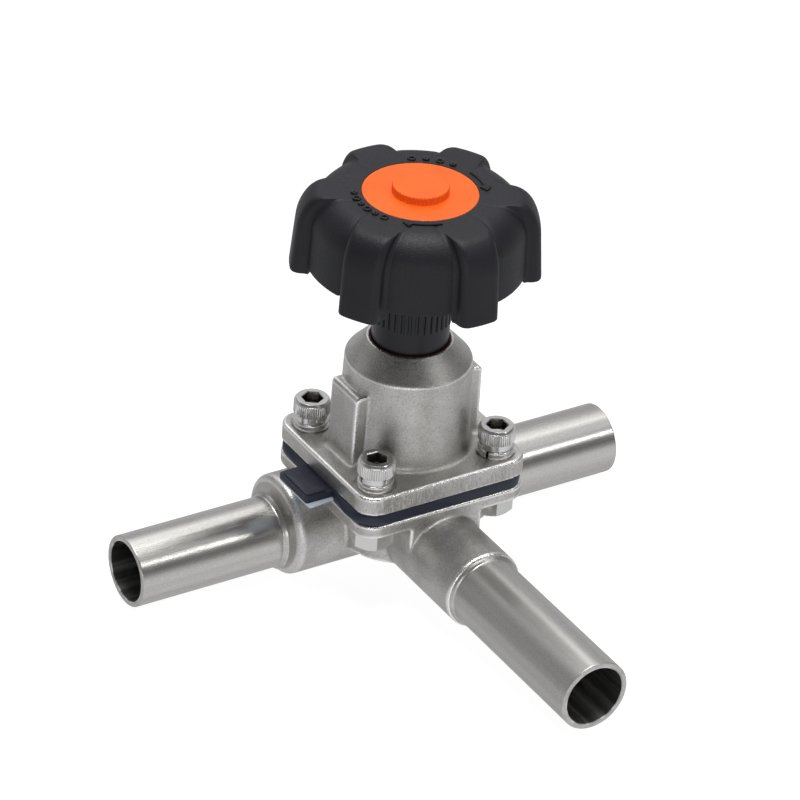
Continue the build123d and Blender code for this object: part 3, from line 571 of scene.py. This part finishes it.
def wheelGrid(recessLine, lobeLine, ribLine, halfWidth, grooveDepth, notchHeight):
    # Point = recess + (lobe - recess) * share, moved along the recess's normal by the groove
    share, rib = lobeShare[None, :, None], ribShare[None, :, None]
    section = recessLine[:, None] + (lobeLine - recessLine)[:, None] * share
    # Low down, the whole lobe keeps its own level as far as the skirt, so that its foot is flat
    low = np.clip((flatFoot["below"] - recessLine[:, 1:]) / flatFoot["over"], 0, 1)
    low = low * (recessLine[:, :1] > flatFoot["beyond"])
    flat = np.clip(lobeShare / flatFoot["fullFrom"], 0, 1)[None, :]
    section[..., 1] += (lobeLine - recessLine)[:, 1:] * low * (flat - lobeShare[None, :])
    section = section + (ribLine - recessLine)[:, None] * rib
    along = np.gradient(recessLine, axis=0)
    along /= np.linalg.norm(along, axis=1)[:, None]
    normal = np.stack([-along[:, 1], along[:, 0]], -1)
    height = np.linalg.norm(lobeLine - recessLine, axis=1)
    depth = grooveDepth * np.clip(height / groove["fullFrom"], 0, 1)
    section = section - normal[:, None] * depth[:, None, None] * grooveShare[None, :, None]
    nearFoot = np.clip((notch["below"] - section[..., 1]) / notch["over"], 0, 1)
    atFlank = np.exp(-(((lateral - notch["at"]) / notch["width"]) ** 2))
    atFlank = atFlank * (lobeShare < 0.02) * (alongRecess == 0)
    section[..., 1] += notchHeight * nearFoot * atFlank
    radius = np.maximum(section[..., 0], wheel["straightFrom"])
    flankAngle = np.arcsin(np.clip((halfWidth + lateral) / radius, 0, 0.95))
    lobes = wheel["lobes"]
    ribAngle = math.pi / lobes - np.arcsin(fromRib / np.maximum(section[..., 0], 8.0))
    half = flankAngle * (1 - alongRecess) + ribAngle * alongRecess
    sector = np.concatenate([-half[:, :0:-1], half[:, :-1]], axis=1)
    reach = np.concatenate([section[:, :0:-1], section[:, :-1]], axis=1)
    turns = math.radians(wheel["turn"]) + np.arange(lobes) * fullTurn / lobes
    angles = (turns[None, :, None] + sector[:, None, :]).reshape(len(section), -1)
    return polar(np.tile(reach[..., 0], (1, lobes)), angles, np.tile(reach[..., 1], (1, lobes)))


innerHalf = wheel["halfWidth"] - wheel["wall"]
outerGrid = wheelGrid(recessOut, lobeOut, recessOut, wheel["halfWidth"], groove["depth"], notch["height"])
innerGrid = wheelGrid(recessIn, lobeIn, ribIn, innerHalf, 0.0, notch["height"])
hubGrid = wheelGrid(hubLine, hubLine, hubLine, innerHalf, 0.0, 0.0)
wheelPiece = makePiece(
    "wheelShell", [(np.concatenate([outerGrid, innerGrid, hubGrid]), True, True)],
    "handwheel", wheelMaterial, ["handwheel"], sharp=55,
)
print("stage: wheel made,", len(wheelPiece.data.polygons), "faces")

# Raised glossy marks round the disc: two plain clockwise arrows and two rows of rings

marks = {
    "radius": 16.7, "height": 0.45, "arrows": (240, -8), "halfArrow": 17,
    "arrowWidths": [0.04, 0.6, 1.1, 1.5] + [0.40] * 13, "rows": ((157, 206, 6), (29, 66, 4)),
    "rings": ((0.95, 0.42), (1.15, 0.30)),
}


def arcBar(startAngle, endAngle, halfWidths, radius, base, height):
    # A bar along an arc; its half width follows the list, its top edges are rounded
    angles = np.radians(np.linspace(startAngle, endAngle, len(halfWidths)))[:, None]
    section = np.array([(-1, 0), (-1, 0.7), (-0.8, 1.0), (0.8, 1.0), (1, 0.7), (1, 0)])
    across = radius + section[None, :, 0] * np.array(halfWidths)[:, None]
    return polar(across, angles, base + section[None, :, 1] * height), False, True


def capped(sheet):
    # Closes both ends of a swept bar onto their middles
    grid, wrapRows, wrapColumns = sheet
    first = np.repeat(grid[:1].mean(1, keepdims=True), grid.shape[1], axis=1)
    last = np.repeat(grid[-1:].mean(1, keepdims=True), grid.shape[1], axis=1)
    return np.concatenate([first, grid, last]), wrapRows, wrapColumns


def ringMark(angle, radius, thick):
    # A small torus, its upper half standing out of the wheel
    around, over = evenTurn(24), evenTurn(12)
    reach = (radius - thick) + thick * np.cos(over)[None, :]
    across = marks["radius"] + reach * np.cos(around)[:, None]
    beside = reach * np.sin(around)[:, None]
    up = wheel["top"] + 0.05 + 1.1 * thick * np.sin(over)[None, :] + 0 * beside
    turn = math.radians(angle)
    x = across * math.cos(turn) - beside * math.sin(turn)
    y = across * math.sin(turn) + beside * math.cos(turn)
    return np.stack([x, y, up], -1), True, True


markSheets = []
for middle in marks["arrows"]:
    start, end = middle - marks["halfArrow"], middle + marks["halfArrow"]
    bar = arcBar(start, end, marks["arrowWidths"], marks["radius"], wheel["top"] - 0.1, marks["height"])
    markSheets.append(capped(bar))
for first, last, count in marks["rows"]:
    for number, angle in enumerate(np.linspace(first, last, count)):
        markSheets.append(ringMark(angle, *marks["rings"][number % 2]))
makePiece("wheelMarks", markSheets, "handwheel", markMaterial, sharp=30)

# Orange disc, and the cap with its knurled side

disc = {"radius": 14.7, "hole": 5.02, "base": 98.8, "top": 101.0}
discLine = roundedLine([
    (disc["hole"], disc["base"]), (disc["radius"], disc["base"], 0.1),
    (disc["radius"], disc["top"], 0.25), (disc["hole"], disc["top"]),
], closed=True)
makePiece(
    "orangeDisc", [revolved(discLine, 144)], "handwheel", orangeMaterial, ["wheel_disc"],
)

cap = {
    "radius": 7.2, "plug": 5.0, "base": 98.8, "foot": 101.0, "top": 103.0, "teeth": 46, "depth": 0.13,
    "columns": 480,
}
radius, foot, top = cap["radius"], cap["foot"], cap["top"]
capLine = roundedLine([
    (0.001, cap["base"]), (cap["plug"], cap["base"]), (cap["plug"], foot), (radius, foot),
    (radius, foot + 0.2), (radius, top, 0.35), (radius - 1.0, top), (radius - 1.2, top - 0.07),
    (0.001, top - 0.07),
])
capGrid, _, _ = revolved(capLine, cap["columns"], False)
tooth = 0.5 - 0.5 * np.cos(evenTurn(cap["columns"]) * cap["teeth"])
fromAxis = np.linalg.norm(capGrid[..., :2], axis=-1)
onSide = (fromAxis > radius - 0.2) & (capGrid[..., 2] > foot + 0.1)
capGrid[..., :2] *= (1 - np.where(onSide, cap["depth"] * tooth / radius, 0))[..., None]
makePiece(
    "orangeCap", [(capGrid, False, True)], "handwheel", orangeMaterial, ["wheel_cap"],
    sharp=35,
)

# Hub sleeve: narrow raised ribs above, smooth below

sleeve = {
    "radius": 9.9, "bore": 7.8, "square": 4.05, "foot": 57.0, "shelf": 73.0, "top": 84.0,
    "ribs": 36, "ribHeight": 0.42, "ribFrom": 65.0, "ribTo": 79.5, "columns": 432,
}
radius, ribFrom, ribTo = sleeve["radius"], sleeve["ribFrom"], sleeve["ribTo"]
ribRows = [ribTo + 0.1, ribTo, ribTo - 0.2, ribFrom + 0.2, ribFrom, ribFrom - 0.1]
sleeveLine = roundedLine([
    (sleeve["square"], sleeve["top"]), (radius, sleeve["top"]), *[(radius, height) for height in ribRows],
    (radius, sleeve["foot"], 0.3), (sleeve["bore"], sleeve["foot"], 0.2),
    (sleeve["bore"], sleeve["shelf"]), (sleeve["square"], sleeve["shelf"]),
], closed=True)
sleeveGrid, _, _ = revolved(sleeveLine, sleeve["columns"])
ribPhase = np.abs((evenTurn(sleeve["columns"]) * sleeve["ribs"] / fullTurn) % 1 - 0.5) * 2
ribHeight = sleeve["ribHeight"] * np.clip((ribPhase - 0.40) / 0.12, 0, 1)
onRibs = np.linalg.norm(sleeveGrid[..., :2], axis=-1) > radius - 0.05
onRibs &= (sleeveGrid[..., 2] >= ribFrom + 0.1) & (sleeveGrid[..., 2] <= ribTo - 0.1)
sleeveGrid[..., :2] *= (1 + np.where(onRibs, ribHeight / radius, 0))[..., None]
makePiece(
    "hubSleeve", [(sleeveGrid, True, True)], "handwheel", sleeveMaterial, ["hub_sleeve"],
    sharp=35,
)

wiper = {"inner": 9.95, "outer": 10.38, "base": 57.7, "innerTop": 59.0, "top": 59.15}
wiperLine = roundedLine([
    (wiper["inner"], wiper["base"]), (wiper["outer"], wiper["base"]),
    (wiper["outer"], wiper["top"], 0.1), (wiper["inner"], wiper["innerTop"], 0.1),
], closed=True)
makePiece("wiperRing", [revolved(wiperLine, 96)], "valve", ringMaterial, ["wiper_ring"])
print("stage: wheel fittings made")


# Cap screws: knurled head with a smooth band below, bevelled rim and hexagon socket

def hexRadius(angles, flats):
    return flats / 2 / np.cos((angles + fullTurn / 12) % (fullTurn / 6) - fullTurn / 12)


screw = {
    "seat": 30.6, "socket": 5.0, "depth": 3.2, "knurls": 48, "knurlDepth": 0.24, "shank": 3.0,
    "head": 4.8, "columns": 288,
}
places = [
    {"at": (-boltX, -boltY), "length": 20.0, "socketTurn": 26, "split": 96},
    {"at": (boltX, -boltY), "length": 20.0, "socketTurn": 1, "split": 215},
    {"at": (boltX, boltY), "length": 16.0, "socketTurn": 40, "split": 276},
    {"at": (-boltX, boltY), "length": 16.0, "socketTurn": -4, "split": 6},
]
columns = screw["columns"]
screwAngles = evenTurn(columns)
knurl = (0.5 - 0.5 * np.cos(screwAngles * screw["knurls"])) ** 2.5
hexShape = hexRadius(screwAngles, screw["socket"])
shank, head, seat = screw["shank"], screw["head"], screw["seat"]
bottom = headTop - screw["depth"]
# Rows of the socket as shares of the hexagon, then the drilled cone beneath it as radii
socketRows = [(1.08, headTop), (1.0, headTop - 0.22), (0.985, bottom + 0.1), (0.93, bottom)]
coneRows = [(1.2, bottom - 0.1), (0.001, bottom - 0.5)]
# Split washer: a rounded section swept nearly once round, one end a little higher
washer = {"inner": 3.3, "outer": 4.72, "height": 2.0, "gap": 0.14, "rise": 0.1, "steps": 97}
washerLine = roundedLine([
    (washer["inner"], 0, 0.15), (washer["outer"], 0, 0.2),
    (washer["outer"], washer["height"], 0.4), (washer["inner"], washer["height"], 0.15),
], closed=True, steps=4)
across, up = washerLine[None, :, 0], washerLine[None, :, 1]
sweep = np.linspace(0, fullTurn - washer["gap"], washer["steps"])[:, None]
rise = np.linspace(0.0, washer["rise"], washer["steps"])[:, None]
for number, place in enumerate(places, start=1):
    end = seat - place["length"]
    line = roundedLine([
        (0.001, end), (shank - 0.4, end), (shank, end + 0.5), (shank, seat, 0.2), (head - 0.5, seat),
        (head - 0.38, seat + 0.15), (head - 0.38, seat + 1.8), (head - 0.06, seat + 1.9),
        (head, seat + 2.1), (head, headTop - 0.95), (head - 0.14, headTop - 0.8),
        (head - 0.18, headTop - 0.55), (head - 0.65, headTop, 0.15), (head - 1.65, headTop),
    ])
    onKnurl = (line[:, 0] > head - 0.08)[:, None]
    radii = line[:, :1] - np.where(onKnurl, screw["knurlDepth"] * knurl, 0)
    radii = [radii] + [share * hexShape for share, _ in socketRows]
    radii = np.vstack(radii + [np.full(columns, reach) for reach, _ in coneRows])
    heights = np.append(line[:, 1], [height for _, height in socketRows + coneRows])[:, None]
    grid = polar(radii, screwAngles + math.radians(place["socketTurn"]), heights, place["at"])
    makePiece(
        f"capScrew{number}", [(grid, False, True)], "valve", fastenerMaterial,
        [f"cap_screw_{number}"], sharp=32,
    )
    turned = sweep + math.radians(place["split"])
    grid = polar(across, turned, bonnetFlange["top"] + up + rise, place["at"])
    makePiece(
        f"springWasher{number}", [capped((grid, False, True))], "valve", fastenerMaterial,
        [f"spring_washer_{number}"], sharp=40,
    )

# Hexagon nuts: a 30 degree cone cuts the hexagon's corners at the lower end

nut = {
    "flats": 10.0, "base": 11.5, "height": 5.0, "bore": 3.05, "cone": 4.75, "turn": -18.0, "columns": 144,
}
columns = nut["columns"]
nutAngles = evenTurn(columns)
nutHex = hexRadius(nutAngles, nut["flats"])
slope = math.tan(math.radians(30))
rises = [0.0, 0.15, 0.35, 0.6, 1.0, nut["height"] - 0.05, nut["height"]]
radii = [np.full(columns, nut["bore"] + 0.3)]
radii += [np.minimum(nutHex, nut["cone"] + rise / slope) for rise in rises]
radii = np.array(radii + [np.full(columns, nut["bore"])] * 2)
heights = nut["base"] + np.array([0.0, *rises, nut["height"], 0.3])[:, None]
turned = nutAngles + math.radians(nut["turn"])
for number, place in enumerate(places[:2], start=1):
    grid = polar(radii, turned, heights, place["at"])
    makePiece(
        f"hexNut{number}", [(grid, True, True)], "valve", fastenerMaterial,
        [f"hex_nut_{number}"], sharp=30,
    )
print("stage: fasteners made")


# Diaphragm pair. Rim: an outline offset inwards row by row and joined to the dome's circle.

def evenOutline(corners, count=480):
    # The rounded outline walked anticlockwise at even steps
    line = roundedLine(corners, closed=True, steps=10)
    ring = np.vstack([line, line[:1]])
    walked = np.concatenate([[0], np.cumsum(np.linalg.norm(np.diff(ring, axis=0), axis=1))])
    even = np.linspace(0, walked[-1], count, endpoint=False)
    return np.stack([np.interp(even, walked, ring[:, 0]), np.interp(even, walked, ring[:, 1])], -1)


def rectangle(left, right, half, corner):
    return [(right, -half, corner), (right, half, corner), (left, half, corner), (left, -half, corner)]


def atHeight(points, height):
    return np.concatenate([points, np.full((len(points), 1), height)], 1)


def rimSheet(outline, sizes, belly):
    # Rows from the dome's circle out over the top, round the edge and back beneath; the edge
    # stands out by belly at half height. A pocket inset by inner is cut up to the level pocket.
    along = np.roll(outline, -1, axis=0) - np.roll(outline, 1, axis=0)
    along /= np.linalg.norm(along, axis=1)[:, None]
    normal = np.stack([along[:, 1], -along[:, 0]], -1)
    angles = np.arctan2(outline[:, 1], outline[:, 0])
    circle = domeRadius * np.stack([np.cos(angles), np.sin(angles)], -1)
    base, top, edge = sizes["rimBase"], sizes["rimTop"], sizes["edge"]
    middle = (base + top) / 2
    side = roundedLine([
        (-1.5 * edge, top), (0, top, edge), (0, middle + 0.2),
        (0, middle - 0.2), (0, base, edge), (-1.5 * edge, base),
    ], steps=4, support=0)
    side = np.concatenate([side[:6], np.linspace(side[5], side[-6], 7)[1:-1], side[-6:]])
    rows = [atHeight(circle, top), atHeight(0.5 * circle + 0.5 * outline, top)]
    for out, height in side:
        swell = belly * math.sin(math.pi * np.clip((height - base) / (top - base), 0, 1))
        rows.append(atHeight(outline + normal * (out + swell)[:, None], height))
    within, pocket = outline - normal * sizes["inner"], sizes["pocket"]
    rows += [atHeight(within, base), atHeight(within, pocket), atHeight(circle, pocket)]
    return np.stack(rows), True, True


def slab(corners, base, top, edge):
    # A plate with rounded top edge; its outline shrinks onto its middle above and below
    outline = roundedLine(corners, closed=True, steps=4)
    middle = outline.mean(0)
    reach = np.linalg.norm(outline - middle, axis=1).min()
    rows = [atHeight(outline * 0 + middle, top)]
    for t in np.linspace(0, math.pi / 2, 5):
        share = 1 - edge * (1 - math.sin(t)) / reach
        rows.append(atHeight(middle + (outline - middle) * share, top - edge * (1 - math.cos(t))))
    rows += [atHeight(outline, base), atHeight(outline * 0 + middle, base)]
    return np.stack(rows), False, True


def domeSheet(base, thickness, rise):
    # The dome is a flat middle with a cosine fall to the rim, on both faces
    radii = np.array([0.001, 2.0, 4.0, domeFlat, 7.5, 9.0, 10.5, 12.0, domeRadius])
    fall = np.clip((radii - domeFlat) / (domeRadius - domeFlat), 0, 1)
    height = base + rise * (0.5 + 0.5 * np.cos(math.pi * fall))
    upper, lower = np.stack([radii, height + thickness], -1), np.stack([radii, height], -1)
    return revolved(np.vstack([upper, lower[::-1]]), 96, False)


domeRadius, domeFlat = 13.0, 6.0
backing = {
    "outline": (-24.7, 24.5, 22.6, 6.0), "rimBase": 20.32, "rimTop": 23.68, "edge": 0.35,
    "inner": 1.85, "pocket": 21.5, "thickness": 2.2, "rise": 1.1,
}
# The tab's block, with a raised plate on it
block = {
    "corners": [(-20.0, -6.9), (-20.0, 6.9), (-32.5, 6.9, 0.6), (-32.5, -6.9, 0.6)],
    "base": 21.5, "top": 23.2, "edge": 0.3,
}
plate = {
    "corners": [(-26.2, -6.3, 0.5), (-26.2, 6.3, 0.5), (-31.4, 6.3, 0.5), (-32.1, 5.4, 0.5),
                (-32.1, -5.9, 0.5), (-31.6, -6.3, 0.3)],
    "base": 23.0, "top": 23.75, "edge": 0.3,
}
facing = {
    "outline": (-23.0, 23.0, 21.1, 3.7), "rimBase": 20.3, "rimTop": 21.5, "edge": 0.1,
    "inner": 1.5, "pocket": 20.3, "thickness": 1.2, "rise": 1.1,
}
strip = {
    "corners": [(-19.3, -7.1), (-19.3, 6.7), (-32.4, 6.7, 0.4), (-32.4, -8.5, 0.7)],
    "base": 20.9, "top": 21.5, "edge": 0.12,
}
# Squeezed between the flanges, the rubber swells on the left, most beside the tab and the corners
swells = [
    {"at": -14.0, "width": 4.6, "height": 1.05},
    {"at": 14.0, "width": 4.2, "height": 0.75},
]
cornerSwell = {"at": (-23.0, -21.0), "width": 7.0, "height": 0.55}
backingOutline = evenOutline(rectangle(*backing["outline"]))
leftSide = np.clip((-backingOutline[:, 0] - 23.5) / 1.0, 0, 1)
swelling = np.full(len(backingOutline), 0.12)
for swell in swells:
    distance = (backingOutline[:, 1] - swell["at"]) / swell["width"]
    swelling += leftSide * swell["height"] * np.exp(-(distance ** 2))
distance = np.linalg.norm(backingOutline - np.array(cornerSwell["at"]), axis=-1) / cornerSwell["width"]
swelling += cornerSwell["height"] * np.exp(-(distance ** 2))
backingSheets = [rimSheet(backingOutline, backing, swelling), slab(**block), slab(**plate)]
makePiece(
    "backingRim", backingSheets, "valve", rubberMaterial, ["diaphragm_backing"], sharp=45,
)
facingOutline = evenOutline(rectangle(*facing["outline"]))
facingSheets = [rimSheet(facingOutline, facing, np.zeros(len(facingOutline))), slab(**strip)]
makePiece("facingRim", facingSheets, "valve", facingMaterial, ["ptfe_diaphragm"], sharp=45)
for name, sizes, material, slot, node in (
    ("backingDome", backing, rubberMaterial, "backing_rubber", "diaphragm_backing"),
    ("facingDome", facing, facingMaterial, "ptfe", "ptfe_diaphragm"),
):
    sheet = domeSheet(sizes["pocket"], sizes["thickness"], sizes["rise"])
    dome = makePiece(name, [sheet], "valve", material, [node])
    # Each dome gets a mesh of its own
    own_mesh(dome)
print("stage: diaphragm made")

# CAD pieces whose shape is right keep it and get their material

carried = (
    (innerMaterial, ("spindle", "compressor", "thrust_disc")),
    (fastenerMaterial, (
        "compressor_pin_1", "compressor_pin_2", "diaphragm_stud", "wheel_washer", "wheel_screw")),
    (bronzeMaterial, ("spindle_nut", "drive_insert")),
    (ringMaterial, ("nut_seal_ring",)),
)
for material, nodes in carried:
    for node in nodes:
        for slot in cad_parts[node].material_slots:
            slot.material = material


# Floor, light and camera

def whitePaper():
    # Seamless paper: white to the camera, with only a faint shadow under the valve
    material, _, shader = newMaterial("whitePaper", "#8c8c8c", 0.0, 0.9, 0.0)
    shader.inputs["Emission Color"].default_value = (1, 1, 1, 1)
    shader.inputs["Emission Strength"].default_value = 0.92
    return material


def stagePiece(name, mesh, place):
    # The camera sees it; the steel doesn't mirror it, and no light comes back from it
    piece = bpy.data.objects.new(name, mesh)
    mesh.materials.append(whitePaper())
    piece.matrix_world = place
    piece.visible_glossy = False
    piece.visible_diffuse = False
    piece.visible_transmission = False
    scene.collection.objects.link(piece)
    return piece


# The valve lies on its run necks and on the far end of the branch tube
neckFoot, branchFoot = Vector((0, -2.0, -10.55)), Vector((0, -106.9, -3.0))
floorTilt = -math.atan2(branchFoot.z - neckFoot.z, neckFoot.y - branchFoot.y)
floorMesh = bpy.data.meshes.new("floor")
halfFloor = 0.15
floorCorners = [(x * halfFloor, y * halfFloor, 0) for x, y in ((-1, -1), (1, -1), (1, 1), (-1, 1))]
floorMesh.from_pydata(floorCorners, [], [(0, 1, 2, 3)])
stagePiece("floor", floorMesh, Matrix.Translation(neckFoot * metre) @ Matrix.Rotation(floorTilt, 4, "X"))


# A white dome behind it all, which only the camera sees
backdropRadius = 2900.0
halfRound = np.linspace(-math.pi / 2 + 0.001, math.pi / 2 - 0.001, 17)
backdropLine = backdropRadius * np.stack([np.cos(halfRound), np.sin(halfRound)], -1)
backdropPoints, backdropQuads = meshOf([revolved(backdropLine, 48, False)])
backdropMesh = bpy.data.meshes.new("backdrop")
backdropMesh.from_pydata((backdropPoints * metre).tolist(), [], backdropQuads.tolist())
backdrop = stagePiece("backdrop", backdropMesh, Matrix.Identity(4))
backdrop.visible_shadow = False


def bearing(azimuth, elevation):
    # Azimuth 0 looks from the object towards -Y, 90 towards +X
    azimuth, elevation = math.radians(azimuth), math.radians(elevation)
    across = math.cos(elevation)
    return Vector((across * math.sin(azimuth), -across * math.cos(azimuth), math.sin(elevation)))


# The room that the steel mirrors: bright paper below, dim above with a few lit patches
world = bpy.data.worlds.new("studio")
scene.world = world
world.use_nodes = True
tree = world.node_tree
direction = addNode(tree, "ShaderNodeTexCoord").outputs["Generated"]
height = addNode(tree, "ShaderNodeSeparateXYZ", {0: direction}).outputs["Z"]


def towards(way, cosines):
    # 0 to 1 as the cosine of the angle between the view and way goes from the first to the second
    near = vectorMath(tree, "DOT_PRODUCT", direction, bearing(*way))
    inputs = {"Value": near, "From Min": cosines[0], "From Max": cosines[1]}
    return addNode(tree, "ShaderNodeMapRange", inputs, interpolation_type="SMOOTHSTEP").outputs[0]


patches = [
    {"way": (147, 18), "cosines": (0.65, 0.97), "strength": 0.34},
    {"way": (-136, 24), "cosines": (0.90, 0.99), "strength": 0.25},
    {"way": (48, 54), "cosines": (0.92, 0.99), "strength": 0.28},
    {"way": (80, 62), "cosines": (0.88, 0.99), "strength": 0.50},
    {"way": (178, 50), "cosines": (0.86, 0.98), "strength": 0.95},
]
below = arithmetic(tree, "MULTIPLY_ADD", towards((-10, -20), (0.0, 0.95)), 0.26, 0.58)
above = 0.17
for patch in patches:
    lit = towards(patch["way"], patch["cosines"])
    above = arithmetic(tree, "MULTIPLY_ADD", lit, patch["strength"], above)
horizon = ramp(tree, height, -0.10, 0.20)
sky = addNode(tree, "ShaderNodeMix", {0: horizon, 2: below, 3: above}).outputs[0]
background = tree.nodes["Background"]
background.inputs["Color"].default_value = linearColour("#fbfcff")
tree.links.new(sky, background.inputs["Strength"])

lamps = [
    {"name": "overhead", "way": (0, 90), "distance": 1.5, "size": (0.80, 0.80), "radiance": 7.5},
    {"name": "rightStrip", "way": (35, 37), "distance": 2.0, "size": (0.40, 0.12), "radiance": 15.0},
    {"name": "backBox", "way": (125, 56), "distance": 2.0, "size": (1.40, 0.70), "radiance": 0.9},
    {"name": "frontStrip", "way": (-33, 9), "distance": 2.0, "size": (1.50, 0.16), "radiance": 4.8},
]
# Soft boxes aimed at the bonnet: power = radiance * pi * area
target = Vector((0, stemY * metre, 0.03))
for lamp in lamps:
    light = bpy.data.lights.new(lamp["name"], "AREA")
    light.shape = "RECTANGLE"
    light.size, light.size_y = lamp["size"]
    light.energy = lamp["radiance"] * math.pi * light.size * light.size_y
    lampObject = bpy.data.objects.new(lamp["name"], light)
    lampObject.location = target + bearing(*lamp["way"]) * lamp["distance"]
    lampObject.rotation_euler = bearing(*lamp["way"]).to_track_quat("Z", "Y").to_euler()
    scene.collection.objects.link(lampObject)

# Camera: fitted to tube ends, weld seams, bolt square, flanges and wheel of the photograph
view = {"azimuth": -33.63, "elevation": 31.94, "roll": 4.09, "distance": 1148.86, "focal": 4504.0,
        "across": -1.72, "up": -4.42, "centre": (0, stemY, 45.0), "pixels": 800, "sensor": 36.0}
azimuth, roll = math.radians(view["azimuth"]), math.radians(view["roll"])
backWay = bearing(view["azimuth"], view["elevation"])
rightWay = Vector((math.cos(azimuth), math.sin(azimuth), 0))
upWay = backWay.cross(rightWay)
rolledRight = rightWay * math.cos(roll) + upWay * math.sin(roll)
rolledUp = upWay * math.cos(roll) - rightWay * math.sin(roll)
eye = Vector(view["centre"]) + backWay * view["distance"]
eye = eye + rolledRight * view["across"] + rolledUp * view["up"]
turned = Matrix((rolledRight, rolledUp, backWay)).transposed().to_4x4()
cameraData = bpy.data.cameras.new("camera")
cameraData.sensor_width = view["sensor"]
cameraData.lens = view["focal"] / view["pixels"] * view["sensor"]
cameraData.clip_start, cameraData.clip_end = 0.05, 20
camera = bpy.data.objects.new("camera", cameraData)
camera.matrix_world = Matrix.Translation(eye * metre) @ turned
scene.collection.objects.link(camera)
scene.camera = camera
scene.view_settings.view_transform = "Standard"
scene.view_settings.look = "None"
print("stage: floor, lights and camera set")
